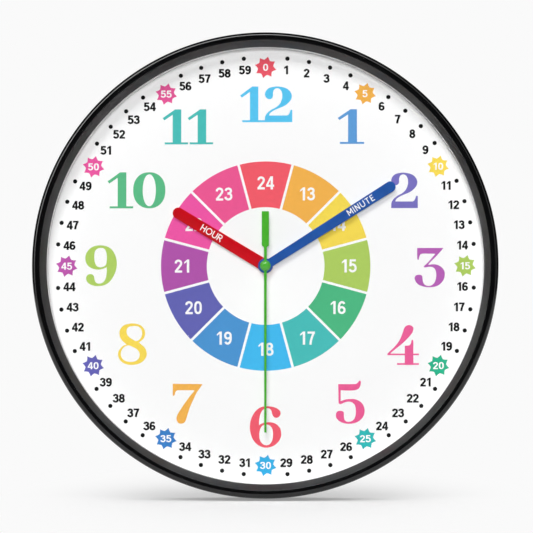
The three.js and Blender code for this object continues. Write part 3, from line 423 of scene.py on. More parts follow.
def oval(centre, reach, power, count):
    # power 2 is an ellipse, and more than 2 squares it up
    loop = []
    for i in range(count):
        c, s = math.cos(fullTurn * i / count), math.sin(fullTurn * i / count)
        loop.append(Vector((centre[0] + reach[0] * math.copysign(abs(c) ** (2 / power), c),
                            centre[1] + reach[1] * math.copysign(abs(s) ** (2 / power), s))))
    return loop


def signedArea(loop):
    return sum(a.x * b.y - a.y * b.x for a, b in zip(loop, loop[1:] + loop[:1])) / 2


def fillShape(ink, holes=()):
    points, rings = [], []
    for loop in [*ink, *holes]:
        ordered = loop if signedArea(loop) > 0 else loop[::-1]
        rings.append(list(range(len(points), len(points) + len(ordered))))
        points += ordered
    spots, _, triangles, _, _, owners = delaunay_2d_cdt(points, [], rings, 1, 1e-6, True)
    kept = [face for face, own in zip(triangles, owners) if own and max(own) < len(ink)]
    directed = {(face[i], face[(i + 1) % 3]) for face in kept for i in range(3)}
    edges = [(a, b) for a, b in directed if (b, a) not in directed]
    return spots, kept, sorted(edges)


def layFlat(sheet, shape, place, rear, front, ink=0):
    spots, triangles, edges = shape
    first, count = len(sheet['points']), len(spots)
    placed = [place(spot) for spot in spots]
    sheet['points'] += [(x, y, front) for x, y in placed] + [(x, y, rear) for x, y in placed]
    faces = triangles + [(c + count, b + count, a + count) for a, b, c in triangles]
    faces += [(a + count, b + count, b, a) for a, b in edges]
    addFaces(sheet, faces, first, [ink])


def newSheet():
    return {'points': [], 'faces': [], 'inks': []}


def sheetMesh(name, sheet):
    mesh = bpy.data.meshes.new(name)
    mesh.from_pydata(sheet['points'], [], sheet['faces'])
    mesh.polygons.foreach_set('material_index', sheet['inks'])
    return mesh


def newPiece(name, shape, skins, body, slot, standsFor=(), crease=35):
    # shape: a mesh, or a sheet that becomes one
    mesh = sheetMesh(name, shape) if isinstance(shape, dict) else shape
    mesh.transform(benchToWorld)
    for skin in skins:
        mesh.materials.append(skin)
    mesh.polygons.foreach_set('use_smooth', [True] * len(mesh.polygons))
    mesh.set_sharp_from_angle(angle=math.radians(crease))
    mesh.update()
    piece = bpy.data.objects.new(name, mesh)
    scene.collection.objects.link(piece)
    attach(piece, body)
    if standsFor:
        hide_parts(*standsFor)


def polar(angle, reach):
    return Vector((reach * math.cos(angle), reach * math.sin(angle)))


def ring(reach, count):
    return [polar(fullTurn * i / count, reach) for i in range(count)]


def box(middle, reachX, reachY):
    return [middle + Vector((x * reachX, y * reachY))
            for x, y in ((-1, -1), (1, -1), (1, 1), (-1, 1))]


def insetLoop(loop, inset):
    # moves an outline towards its own left side, the inside of a solid drawn anticlockwise
    moved = []
    for i, point in enumerate(loop):
        back = (point - loop[i - 1]).normalized()
        ahead = (loop[(i + 1) % len(loop)] - point).normalized()
        along = (back + ahead).normalized()
        moved.append(point + Vector((-along.y, along.x)) * inset / max(along.dot(ahead), 0.4))
    return moved


def slab(loops, layers, sheet=None):
    # loops: outline first, then holes; layers: (z, inset) from the rear face to the front face
    sheet = sheet or newSheet()
    ordered = [loop if (signedArea(loop) > 0) == (i == 0) else loop[::-1]
               for i, loop in enumerate(loops)]
    first, size = len(sheet['points']), sum(len(loop) for loop in ordered)
    for z, inset in layers:
        for loop in ordered:
            sheet['points'] += [(*point, z) for point in insetLoop(loop, inset)]
    faces = []
    for layer in range(len(layers) - 1):
        start = layer * size
        for loop in ordered:
            count = len(loop)
            for i in range(count):
                a, b = start + i, start + (i + 1) % count
                faces.append((a, b, b + size, a + size))
            start += count
    for layer, front in ((0, False), (len(layers) - 1, True)):
        flat = [Vector(p[:2]) for p in sheet['points'][first + layer * size:][:size]]
        rings, start = [], 0
        for i, loop in enumerate(ordered):
            turn = list(range(start, start + len(loop)))
            rings.append(turn if i == 0 else turn[::-1])
            start += len(loop)
        _, _, triangles, origins, _, owners = delaunay_2d_cdt(flat, [], rings, 1, 1e-7, True)
        for face, own in zip(triangles, owners):
            if own == [0]:
                corners = tuple(origins[i][0] + layer * size for i in face)
                faces.append(corners if front else corners[::-1])
    addFaces(sheet, faces, first)
    return sheet


def quarterArc(steps):
    return [upright * i / steps for i in range(steps + 1)]


def roundedLayers(rear, front, radius, steps=2):
    return [(rear, 0)] + [(front - radius * (1 - math.sin(a)), radius * (1 - math.cos(a)))
                          for a in quarterArc(steps)]


def rearRounded(rear, front, radius):
    return [(rear + radius * (1 - math.cos(a)), radius * (1 - math.sin(a)))
            for a in quarterArc(2)] + [(front, 0)]


def addFaces(sheet, faces, first, inks=(0,)):
    # faces count their points from the first one of their own part
    sheet['faces'] += [tuple(i + first for i in face) for face in faces]
    sheet['inks'] += list(inks) * (len(faces) // len(inks))


def turned(profile, count, sheet=None):
    # profile: (radius, z) from the rear of the axis, outwards and round to the front of the axis
    sheet = sheet or newSheet()
    first = len(sheet['points'])
    rows = []
    for radius, z in profile:
        start = len(sheet['points']) - first
        spots = ring(radius, count) if radius > 0 else [Vector((0, 0))]
        sheet['points'] += [(*spot, z) for spot in spots]
        rows.append([start + i % len(spots) for i in range(count)])
    faces = []
    for low, high in zip(rows, rows[1:]):
        for i in range(count):
            j = (i + 1) % count
            corners = list(dict.fromkeys((low[i], low[j], high[j], high[i])))
            if len(corners) > 2:
                faces.append(corners)
    addFaces(sheet, faces, first)
    return sheet


def filletedLine(corners, steps=4):
    # corners: (x, y, fillet radius) round a closed outline
    line = []
    for i, (x, y, radius) in enumerate(corners):
        point = Vector((x, y))
        if radius == 0:
            line.append(point)
            continue
        back = (Vector(corners[i - 1][:2]) - point).normalized()
        ahead = (Vector(corners[(i + 1) % len(corners)][:2]) - point).normalized()
        half = math.acos(max(-1, min(1, back.dot(ahead)))) / 2
        middle = point + (back + ahead).normalized() * radius / math.sin(half)
        start = point + back * radius / math.tan(half) - middle
        end = point + ahead * radius / math.tan(half) - middle
        sweep = start.angle_signed(end)
        for step in range(steps + 1):
            turn = Matrix.Rotation(-sweep * step / steps, 2)
            line.append(middle + turn @ start)
    return line


# Geometry Nodes: one tree sweeps a profile round the clock, one sets a shape out round a circle


def newTree(name, inputs):
    tree = bpy.data.node_groups.new(name, 'GeometryNodeTree')
    tree.interface.new_socket(name='Geometry', in_out='OUTPUT', socket_type='NodeSocketGeometry')
    for label, kind in inputs.items():
        tree.interface.new_socket(name=label, in_out='INPUT', socket_type='NodeSocket' + kind)
    return tree, addNode(tree, 'NodeGroupInput').outputs


def endTree(tree, geometry, material, shares=()):
    geometry = addNode(tree, 'GeometryNodeRealizeInstances', {0: geometry})
    for selection, skin in ((True, material), *shares):
        geometry = addNode(tree, 'GeometryNodeSetMaterial', {
            'Geometry': geometry, 'Selection': selection, 'Material': skin})
    addNode(tree, 'NodeGroupOutput', {0: geometry})


def bakeTree(name, tree, values):
    host = bpy.data.objects.new(name + '_host', bpy.data.meshes.new(name + '_host'))
    scene.collection.objects.link(host)
    modifier = host.modifiers.new('shape', 'NODES')
    modifier.node_group = tree
    for item in tree.interface.items_tree:
        if item.in_out == 'INPUT':
            modifier[item.identifier] = values[item.name]
    graph = bpy.context.evaluated_depsgraph_get()
    mesh = bpy.data.meshes.new_from_object(host.evaluated_get(graph), depsgraph=graph)
    mesh.name = name
    bpy.data.objects.remove(host)
    return mesh


def makeSweepTree():
    tree, given = newTree('sweep_round_the_clock', {
        'Profile': 'Object', 'Path radius': 'Float', 'Path segments': 'Int', 'Skin': 'Material'})
    path = addNode(tree, 'GeometryNodeCurvePrimitiveCircle', {
        'Resolution': given['Path segments'], 'Radius': given['Path radius']})
    profile = addNode(tree, 'GeometryNodeObjectInfo', {'Object': given['Profile']})
    swept = addNode(tree, 'GeometryNodeCurveToMesh', {
        'Curve': path, 'Profile Curve': profile.outputs['Geometry']})
    endTree(tree, swept, given['Skin'])
    return tree


sweepTree = makeSweepTree()


def sweptRing(name, outline, skin, segments=256):
    # outline: (radius, z) points, clockwise when z points up the page
    reference = outline[0][0]
    curve = bpy.data.curves.new(name + '_profile', 'CURVE')
    curve.dimensions = '2D'
    spline = curve.splines.new('POLY')
    spline.points.add(len(outline) - 1)
    for point, (radius, z) in zip(spline.points, outline):
        point.co = (radius - reference, -z, 0, 1)
    spline.use_cyclic_u = True
    profile = bpy.data.objects.new(name + '_profile', curve)
    scene.collection.objects.link(profile)
    mesh = bakeTree(name, sweepTree, {'Profile': profile, 'Path radius': reference,
                                      'Path segments': segments, 'Skin': skin})
    bpy.data.objects.remove(profile)
    return mesh


def angleOf(tree, number, given):
    # places go clockwise from the first angle
    turn = calc(tree, 'MULTIPLY', calc(tree, 'DIVIDE', number, given['Count']), -fullTurn)
    return calc(tree, 'ADD', turn, given['First angle'])


def compared(tree, kind, operation, first, second):
    # the sockets for whole numbers are 2 and 3
    low = 2 if kind == 'INT' else 0
    return addNode(tree, 'FunctionNodeCompare', {low: first, low + 1: second},
                   data_type=kind, operation=operation)


def makeSetOutTree(name, skins=()):
    # a place whose number the step divides stays bare; skins colour the places one by one
    tree, given = newTree(name, {
        'Shape': 'Object', 'Count': 'Int', 'Radius': 'Float', 'First angle': 'Float',
        'Skip every': 'Int', 'Turn with circle': 'Float', 'Random turn': 'Float', 'Seed': 'Int',
        'Skin': 'Material'})
    index = addNode(tree, 'GeometryNodeInputIndex')
    angle = angleOf(tree, index, given)
    unit = addNode(tree, 'ShaderNodeCombineXYZ', {
        0: calc(tree, 'COSINE', angle), 1: calc(tree, 'SINE', angle)})
    spot = addNode(tree, 'ShaderNodeVectorMath', {0: unit, 3: given['Radius']}, operation='SCALE')
    points = addNode(tree, 'GeometryNodePoints', {'Count': given['Count'], 'Position': spot})
    numbered = addNode(tree, 'GeometryNodeStoreNamedAttribute', {
        'Name': 'place', 'Geometry': points, 'Value': index}, data_type='INT', domain='POINT')
    rest = calc(tree, 'MODULO', index, given['Skip every'])
    skipped = addNode(tree, 'FunctionNodeBooleanMath', {
        0: compared(tree, 'FLOAT', 'LESS_THAN', rest, 0.5),
        1: compared(tree, 'FLOAT', 'GREATER_THAN', given['Skip every'], 0.5)})
    left = addNode(tree, 'GeometryNodeDeleteGeometry', {
        'Geometry': numbered, 'Selection': skipped}, domain='POINT')
    kept = addNode(tree, 'GeometryNodeInputNamedAttribute', {'Name': 'place'}, data_type='INT')
    facing = calc(tree, 'MULTIPLY', angleOf(tree, kept, given), given['Turn with circle'])
    chance = addNode(tree, 'FunctionNodeRandomValue', {
        2: 0.0, 3: given['Random turn'], 'ID': kept, 'Seed': given['Seed']}, data_type='FLOAT')
    heading = addNode(tree, 'ShaderNodeCombineXYZ', {
        2: calc(tree, 'ADD', facing, chance.outputs[1])})
    shape = addNode(tree, 'GeometryNodeObjectInfo', {'Object': given['Shape']})
    placed = addNode(tree, 'GeometryNodeInstanceOnPoints', {
        'Points': left, 'Instance': shape.outputs['Geometry'],
        'Rotation': addNode(tree, 'FunctionNodeEulerToRotation', {0: heading})})
    shares = [(compared(tree, 'INT', 'EQUAL', kept, number), skin)
              for number, skin in enumerate(skins)]
    endTree(tree, placed, given['Skin'], shares)
    return tree


setOutTree = makeSetOutTree('set_out_round_circle')


def setOut(name, tree, sheet, skin, count, radius=0.0, skip=0, turnWith=0.0, first=upright,
           randomTurn=0.0, seed=3):
    shape = bpy.data.objects.new(name + '_shape', sheetMesh(name + '_shape', sheet))
    scene.collection.objects.link(shape)
    mesh = bakeTree(name, tree, {
        'Shape': shape, 'Count': count, 'Radius': radius, 'First angle': first,
        'Skip every': skip, 'Turn with circle': turnWith, 'Random turn': randomTurn,
        'Seed': seed, 'Skin': skin})
    bpy.data.objects.remove(shape)
    return mesh


def joined(meshes):
    sheet = newSheet()
    for mesh in meshes:
        first = len(sheet['points'])
        sheet['points'] += [tuple(v.co) for v in mesh.vertices]
        addFaces(sheet, [tuple(p.vertices) for p in mesh.polygons], first)
    return sheet


# Frame: outer wall, rounded shoulder, low crest, slope down to the lip, and the screw bosses

frameRear, frameFront = depthOf('frame')
lensRear, lensFront = depthOf('lens')
dialRear, dialFront = depthOf('dial')
frameSize = {
    'outerRadius': 150.0, 'wall': 2.2, 'shoulder': 2.7, 'shoulderZ': 39.9, 'crestRadius': 147.0,
    'crestFillet': 2.0, 'slopeTop': (144.95, 39.8), 'slopeFillet': 0.35, 'slopeFoot': 33.5,
    'openingRadius': 140.9, 'openingEdge': 0.12, 'rearEdge': 0.3,
    'ceiling': 3.08, 'ceilingFillet': 1.0,  # how far the hollow stays below the crest
    'lipGap': 0.3, 'seatRadius': 143.1, 'seatOuter': 144.3, 'seatTop': (34.8, 0.5),
    'seatDepth': 0.6, 'seatEdge': 0.2,
    'bossRadius': 2.05, 'bossEdge': 0.2, 'bossBore': 1.1, 'bossRear': 12.1, 'boreEnd': 23.0,
    'bossTop': 37.0, 'webMiddle': 2.5, 'webLong': 0.9, 'webHalf': 1.1,
}
screwRing = {'count': 6, 'radius': 145.15, 'first': math.radians(30)}


def makeFrame(size):
    outer, opening = size['outerRadius'], size['openingRadius']
    inner = outer - size['wall']
    lipRear = lensFront + size['lipGap']
    seatFloor = lensRear - size['seatDepth']
    outline = filletedLine([
        (opening, lipRear, 0),
        (opening, size['slopeFoot'], size['openingEdge']),
        (*size['slopeTop'], size['slopeFillet']),
        (size['crestRadius'], frameFront, size['crestFillet']),
        (outer, size['shoulderZ'], size['shoulder']),
        (outer, frameRear, size['rearEdge']),
        (inner, frameRear, size['rearEdge']),
        (inner, frameFront - size['ceiling'], size['ceilingFillet']),
        (size['seatOuter'], *size['seatTop']),
        (size['seatOuter'], seatFloor, size['seatEdge']),
        (size['seatRadius'], seatFloor, size['seatEdge']),
        (size['seatRadius'], lipRear, 0),
    ])
    moulding = sweptRing('frame_ring', outline, finish['frame_plastic'])
    bossRear, radius, edge = size['bossRear'], size['bossRadius'], size['bossEdge']
    boss = turned([(size['bossBore'], size['boreEnd']), (size['bossBore'], bossRear),
                   (radius - edge, bossRear), (radius, bossRear + edge),
                   (radius, size['bossTop'])], 20)
    web = box(Vector((size['webMiddle'], 0)), size['webLong'], size['webHalf'])
    slab([web], [(bossRear, 0), (size['bossTop'], 0)], boss)
    bosses = setOut('frame_bosses', setOutTree, boss, finish['frame_plastic'], turnWith=1.0,
                    **screwRing)
    mesh = sheetMesh('frame_moulding', joined([moulding, bosses]))
    for face in mesh.polygons:
        reach = math.hypot(face.center.x, face.center.y)
        onSlope = reach < size['slopeTop'][0] and face.normal.z > 0.3
        face.material_index = 1 if onSlope and face.center.z > size['slopeFoot'] else 0
    return mesh


newPiece('frame_moulding', makeFrame(frameSize), [finish['frame_plastic'], finish['frame_satin']],
         'root', 'frame_plastic', ['frame'], crease=50)
print('frame made')

# Dial: a white disc, and the print on it in layers a few hundredths of a millimetre thick

dialSize = {'radius': 141.0, 'hole': 4.3, 'edge': 0.08, 'layer': 0.04}
printFront = dialFront + dialSize['layer']
hoopSize = {'radius': 141.03, 'wall': 0.22, 'edge': 0.06, 'gap': 0.25, 'foot': 19.4}


def makeHoop(size):
    # a polished hoop stands round the dial, up to the lens, and hides the black rim behind it
    inner, outer, top = size['radius'], size['radius'] + size['wall'], lensRear - size['gap']
    foot, edge = size['foot'], size['edge']
    return sweptRing('dial_hoop', filletedLine([
        (inner, foot, 0), (inner, top, edge), (outer, top, edge), (outer, foot, 0),
    ], 2), finish['hoop_plastic'], 240)


newPiece('dial_sheet', slab([ring(dialSize['radius'], 240), ring(dialSize['hole'], 48)],
                            roundedLayers(dialRear, dialFront, dialSize['edge'])),
         [finish['dial_print']], 'root', 'dial_print', ['dial'])
newPiece('dial_hoop', makeHoop(hoopSize), [], 'root', 'dial_print')

hourInk = ['#5AC7F4', '#609EDA', '#7972BF', '#B661B5', '#EC6099', '#EB5E95', '#F05D6F',
           '#F4B454', '#FADC59', '#B1D166', '#5DBC88', '#4CBFBA']  # 12, then 1 to 11
ringInk = ['#F35D6B', '#F4B351', '#F8DC56', '#AFCE63', '#4FB783', '#4BBDB9', '#45BAF0',
           '#4E95D1', '#6465B2', '#B056AA', '#EE58A6', '#ED5A94']  # 24, then 13 to 23
badgeInk = ['#EB5969', '#F4B450', '#F9DC57', '#ACCA5F', '#2AB088', '#31B4B3', '#36AFE4',
            '#3C7EC4', '#6461B2', '#BD58AC', '#ED5AA3', '#E65999']  # 0, then 5 to 55
black = printedInk('ink_black', '#0B0B0B')
white = printedInk('ink_white', '#FCFCFC')

# Hour numerals: fat-faced serif digits, 100 units tall
serifDigits = {
    '0': ([oval((45.5, 50), (45.5, 50), 2.2, 48)], [oval((45.5, 50), (18.5, 44.2), 2.1, 48)]),
    '1': (['-2.3,74.6! 35.4,99.5! 54.3,99.5! 54.3,5.6! 75,5.6! 75,0! 4,0! 4,5.6! 28.2,5.6! '
           '28.2,84.5! 3,68.5!'], []),
    '2': (['2.2,2! 2.5,14.7 4.3,20.6 6.9,25 10.6,29.4 15,33 20,36.8 30,42 36,46.3 41.4,51.5 '
           '45,57.4 47.3,63.2 49,70 49.3,76.5 48.4,83.8 45.8,90.4 42,94.4 37.7,96.3 33.3,96.3 '
           '28.9,94.1 26,90.4 24.5,85.3 24.2,79.4 24.2,74.3 22.3,69.9 18.6,66.9 14.2,66.2 '
           '9,67.6 4.7,72 2.5,78.7 3.2,84.6 6.1,90.4 11.3,95.6 17.9,98.8 25.3,100.4 34,101.5 '
           '44.3,100.7 54.5,98.5 62.6,94.9 69.2,89 73.6,81.6 75,75 73.6,66.9 69.2,59.6 '
           '61.9,52.2 53.1,46.3 42.8,41.9 34,38.2 25.3,33.8 17.9,28.7 14.2,23.5 14.6,20.6! '
           '61.9,20.6! 66.3,23.5 69.2,28.7 71,34.6 72,36.5! 76.2,36! 76.2,2!'], []),
    '3': (['5.6,101.3! 71,101.3! 71,99.4 54.9,81 43.1,69.3 34.3,60! 35.7,58.2 46,59.7 56.3,58.2 '
           '65.1,53.8 71.8,47.2 75.1,39.8 75.7,32.5 74,23.7 70.3,16.3 63.7,9 54.9,3.8 43.1,1.2 '
           '31.3,0.9 19.6,3.1 9.3,7.5 2.6,14.1 -0.7,22.2 0.1,28.1 3.4,31.5 9.3,32.8 15.1,32.1 '
           '18.4,28.8 19.1,22.2 20.3,14.9 23.2,9 28.4,5.3 35.7,4.3 42.4,6 48.2,11.2 52.2,19.3 '
           '54.1,29.6 53.4,39.1 51.2,46.5 46.8,51.2 41.6,53.1 35.7,53.1 28.4,51.9 24.7,51.6 '
           '22.5,53.1 22.5,54.6 31.3,62.6 43.1,75.9 51.2,85.4! 50.4,86.6! 20.3,86.9! 15.1,85.7 '
           '12.2,81.8 10.4,75.9 9.3,71.5 7.1,71 6,73.7 5.6,79.6'], []),
    '4': (['51.9,101.6 44.6,98.9 40.7,93.6 38,85.7 34.7,76.4 30.1,65.8 23.4,55.3 14.2,44.7 '
           '4.9,36.1 -0.4,30.2 -1,27.5! 7,30.5! 8.2,32.8 11.5,35.5 19.5,42.1 30.1,50.7 40.7,59.9 '
           '48.6,67.8 55.2,75.1 60.5,82.4 63.2,89.7 63.2,95 59.2,99.6',
           '-1,30.5! -1,26.4! 77,26.4! 77,30.5!',
           '42,2! 63.2,2! 63.2,60! 62.5,64 59.9,64.6 58.5,63.3 57.9,58.7 55.9,53.4 51.9,50.7 '
           '42,50!',
           '22.8,2.2! 77,2.2! 77,6.6! 22.8,6.6!'], []),
    '5': (['4.4,93.9! 42.6,93.9 46.9,95.3 50.6,98.4 52.2,101.5 54.8,101.8 56.3,99.6 56.3,94.7 '
           '54.8,88.6 51.8,83.7 46.3,80.6 37.7,79 24.2,78.8 10.8,79.6! 10.1,77.5 10.1,54.3! '
           '15.6,56.1 21.8,58.2 31.6,59.2 41.3,58.9 50,56.1 57.3,51.2 62.2,44.5 65,35.9 '
           '64.9,27.3 62.8,20 57.9,12.6 51.1,7.1 42.6,3.1 31.6,1.3 21.8,1.8 12,4.7 4.6,9.6 '
           '-0.2,15.7 -0.9,22.4 1,28.6 5.3,31.3 10.8,31.6 15.6,29.8 17.5,26.1 17.5,18.8 '
           '18.7,11.4 22.4,7.1 29.1,5.9 35.2,7.5 40.7,12 44,20 45,29.8 44.4,38.4 42.6,45.1 '
           '38.3,50 32.8,52.5 25.5,52.7 19.3,51.2 13.2,48.2 9.5,47 6.5,48.4 5.3,51.8 4.9,71.4'],
          []),
    '6': (['34.9,100.6 25.9,98.5 17,93.4 9.3,85.1 3.6,74.9 -0.2,63.4 -1.5,50.6 -0.2,37.8 '
           '3.6,25.1 10,14.9 18.2,7.2 28.4,2.1 38.6,0.6 50.1,2.7 60.3,7.8 69.2,16.7 73.7,26.3 '
           '74.7,34 73,45.5 67.9,53.1 60.3,58.9 51.4,61.8 41.2,62.1 31,60.2 24.6,57.6 '
           '21,54.4! 20.8,60.8 21.4,69.7 23.1,78.7 25.9,85.7 29.7,91.4 34.9,95 41.2,96.2 '
           '46.3,95 50.1,91.4 52,85.1 54,78.7 57.8,74.2 62.9,72.7 68.6,74.9 72.4,80 73.1,85.7 '
           '70.5,90.8 64.1,95.9 55.2,99.1 45,100.8'],
          ['39.3,56.8 47.6,53.8 52.7,46.8 54.6,37.8 54.6,28.8 53.3,19.9 50.1,12.9 45,8 38.6,6.5 '
           '32.3,8 26.5,12.9 22.7,19.9 21.4,28.8 21.7,37.8 24,46.8 28.4,53.1 33.6,56']),
    '7': (['-0.4,101.6! 72.6,100.9! 66.7,91.7 58.8,80.5 52.2,66.6 45.7,52.2 40.4,39 36.4,25.9 '
           '33.2,15.3 30.5,8.1 25.9,3.4 20,1.8 14.1,3.4 9.9,8.7 8.8,15.3 10.8,23.2 16.7,33.8 '
           '25.9,48.3 35.1,61.4 44.3,73.9 52.2,83.1! 51.6,85.4! 12.1,85.4! 8.2,83.8 5.9,79.8 '
           '4.6,74.3 2.9,71.9 0.3,71.9 -0.4,74.5!'], []),
    '8': (['33.3,100.9 23.2,99.6 14.3,97.1 6.7,90.8 2.7,83.2 2,74.9 4.2,66.7 9.2,59.1 '
           '16.2,52.8 19.6,49.7! 14.3,48.5 8,44.7 2.3,37.8 -0.9,30.8 -1.1,23.2 1.6,15.7 '
           '6.7,9.3 14.3,4.3 24.4,1.5 35.8,1.1 47.2,3 57.3,8.1 64.9,15.7 68.4,23.2 68.7,29.5 '
           '66.2,38.4 61.1,45.3 53.5,51.6 49.1,54.8! 54.8,58.6 61.1,64.9 64.3,72.4 64.7,79.3 '
           '62.4,86.9 56.1,94.5 47.2,99'],
          ['34.5,94.2 28.2,93.7 23.2,91.4 20,85.7 19.6,79.4 21.3,73.1 26.3,67.4 33.3,63 '
           '39.6,59.2 44,58.5 49.7,61.1 54.8,66.7 57,73.1 57.3,80 54.8,87 49.1,92.7 42.2,94.6',
           '22.5,47.8 15.6,45.3 10.5,40.9 6.7,34.6 5.4,27 7.3,19.4 12.4,13.1 20.6,9.3 30.8,8.3 '
           '40.9,10 47.2,14.4 50.8,20.7 51,28.3 48.5,34.6 42.2,40.3 33.3,44.7 27,47.5']),
    '9': (['36,101.6 24.3,100.3 13.9,96 6.1,88.9 0.9,79.8 -0.8,70.6 0.3,61.5 4.8,52.4 12.6,45.9 '
           '23,42.3 33.4,41.7 41.2,43.3 47.7,45.9 51.3,47.9! 51.6,39.5 50.9,29.1 49,19.9 '
           '45.1,12.7 39.9,8.4 33.4,6.9 26.9,8.2 23,12.7 21.4,18.6 20.4,25.1 17.1,28.7 '
           '11.9,30.5 6.1,29 2.2,24.4 1.2,18.6 4.2,10.8 11.3,4.9 21.7,1.4 33.4,1 45.1,3 '
           '55.5,8.8 64.6,19.2 71,31.6 74.9,44.6 76.2,57.6 74.3,70.6 69.7,82.3 61.9,92.8 '
           '50.3,99.3'],
          ['37.3,95.1 30.8,94.1 24.9,90.2 21.9,83.7 21,74.6 21.3,65.5 23,57.7 26.2,51.2 '
           '32.1,47.5 38.6,47.3 45.1,49.6 49.6,53.8 51.2,61.6 51.8,70.6 50.9,81.1 48.3,89.5 '
           '43.8,94.1']),
}
# where each digit stands on the dial: left, right, bottom and top edge in millimetres
hourPlaces = [
    [('1', -16.5, -0.4, 93.3, 116.5), ('2', -0.5, 17.3, 93.3, 116.5)],
    [('1', 46.7, 63.8, 79.1, 101.6)],
    [('2', 81.3, 98.5, 37.4, 60.4)],
    [('3', 96.4, 115.9, -13.9, 11.6)],
    [('4', 78.7, 99.1, -64.1, -38.3)],
    [('5', 45.4, 64.0, -102.1, -74.2)],
    [('6', -10.2, 10.1, -117.5, -90.7)],
    [('7', -60.1, -40.8, -102.0, -76.2)],
    [('8', -95.6, -76.9, -64.0, -37.1)],
    [('9', -116.9, -96.4, -12.9, 13.5)],
    [('1', -102.5, -85.9, 37.5, 60.9), ('0', -85.9, -65.0, 37.5, 60.9)],
    [('1', -66.8, -50.3, 79.0, 101.7), ('1', -50.6, -34.1, 79.0, 101.7)],
]


def serifShape(digit):
    return fillShape(*[[line if isinstance(line, list) else smoothLine(line)
                        for line in group] for group in serifDigits[digit]])


def fitted(shape, left, right, bottom, top):
    xs, ys = [p.x for p in shape[0]], [p.y for p in shape[0]]
    scaleX = (right - left) / (max(xs) - min(xs))
    scaleY = (top - bottom) / (max(ys) - min(ys))
    return lambda p: (left + (p.x - min(xs)) * scaleX, bottom + (p.y - min(ys)) * scaleY)


numerals = newSheet()
for hour, digits in enumerate(hourPlaces):
    for digit, *edges in digits:
        shape = serifShape(digit)
        layFlat(numerals, shape, fitted(shape, *edges), dialFront, printFront, hour)
newPiece('hour_numerals', numerals,
         [printedInk(f'ink_hour_{i or 12}', c) for i, c in enumerate(hourInk)], 'root',
         'dial_print')

# Plain digits and letters: pen strokes on a body one unit tall
plainStrokes = {
    '1': {'fills': ['0.20,0! 0.38,0! 0.38,1! 0.22,1! 0,0.80! 0,0.67! 0.20,0.82!']},
    '2': {'strokes': ['0.085,0.70 0.13,0.84 0.29,0.915 0.46,0.84 0.50,0.70 0.45,0.56 0.33,0.40 '
                      '0.20,0.24 0.10,0.10'],
          'fills': ['0.02,0! 0.58,0! 0.58,0.165! 0.02,0.165!']},
    '3': {'strokes': ['0.08,0.74 0.14,0.86 0.29,0.915 0.44,0.86 0.485,0.735 0.43,0.61 0.30,0.545 '
                      '0.22,0.54', '0.22,0.54 0.36,0.535 0.47,0.46 0.51,0.29 0.45,0.15 0.29,0.085 '
                      '0.12,0.15 0.065,0.29']},
    '4': {'fills': ['0.33,1! 0.52,1! 0.52,0.36! 0.61,0.36! 0.61,0.20! 0.52,0.20! 0.52,0! '
                    '0.34,0! 0.34,0.20! 0,0.20! 0,0.35!'],
          'cuts': ['0.345,0.36! 0.345,0.74! 0.165,0.36!']},
    '5': {'strokes': ['0.135,0.98! 0.115,0.47!', '0.09,0.52 0.2,0.60 0.30,0.615 0.45,0.53 '
                      '0.51,0.35 0.46,0.17 0.29,0.085 0.13,0.14 0.05,0.25'],
          'fills': ['0.07,0.84! 0.53,0.84! 0.53,1! 0.07,1!']},
    '6': {'strokes': ['0.50,0.78 0.42,0.885 0.30,0.915 0.17,0.83 0.10,0.66 0.09,0.45 0.09,0.32'],
          'rings': [(0.30, 0.31, 0.21, 0.22, 2.1)]},
    '7': {'strokes': ['0.49,0.90 0.37,0.60 0.28,0.30 0.24,0'],
          'fills': ['0.02,0.84! 0.58,0.84! 0.58,1! 0.02,1!']},
    '8': {'rings': [(0.30, 0.73, 0.18, 0.185, 2.1), (0.30, 0.30, 0.215, 0.215, 2.1)]},
    '9': {'strokes': ['0.10,0.22 0.18,0.115 0.30,0.085 0.43,0.17 0.50,0.34 0.51,0.55 0.51,0.68'],
          'rings': [(0.30, 0.69, 0.21, 0.22, 2.1)]},
    '0': {'rings': [(0.30, 0.50, 0.21, 0.41, 2.5)]},
    'H': {'strokes': ['0.07,0! 0.07,1!', '0.65,0! 0.65,1!', '0.07,0.51! 0.65,0.51!']},
    'O': {'rings': [(0.49, 0.50, 0.42, 0.44, 2.1)]},
    'U': {'strokes': ['0.07,1! 0.07,0.36 0.14,0.15 0.38,0.065 0.62,0.15 0.69,0.36 0.69,1!']},
    'R': {'strokes': ['0.07,0! 0.07,1!', '0.07,0.935! 0.40,0.935 0.56,0.87 0.61,0.71 0.56,0.56 '
                      '0.40,0.49 0.07,0.49!', '0.36,0.49! 0.66,0!']},
    'M': {'strokes': ['0.07,0! 0.07,0.99!', '0.79,0! 0.79,0.99!', '0.09,0.96! 0.43,0.26!',
                      '0.77,0.96! 0.43,0.26!']},
    'I': {'strokes': ['0.07,0! 0.07,1!']},
    'N': {'strokes': ['0.07,0! 0.07,1!', '0.61,0! 0.61,1!', '0.08,0.95! 0.60,0.05!']},
    'T': {'strokes': ['0,0.935! 0.66,0.935!', '0.33,0! 0.33,0.9!']},
    'E': {'strokes': ['0.07,0! 0.07,1!', '0.07,0.935! 0.55,0.935!', '0.07,0.51! 0.50,0.51!',
                      '0.07,0.065! 0.56,0.065!']},
}
fillPen = 0.18  # the pen that the filled stems and bars above are drawn for
digitCell = {'1': (-0.06, 0.46)}  # left and right edge of a digit's place on the line
otherCell = (0, 0.6)


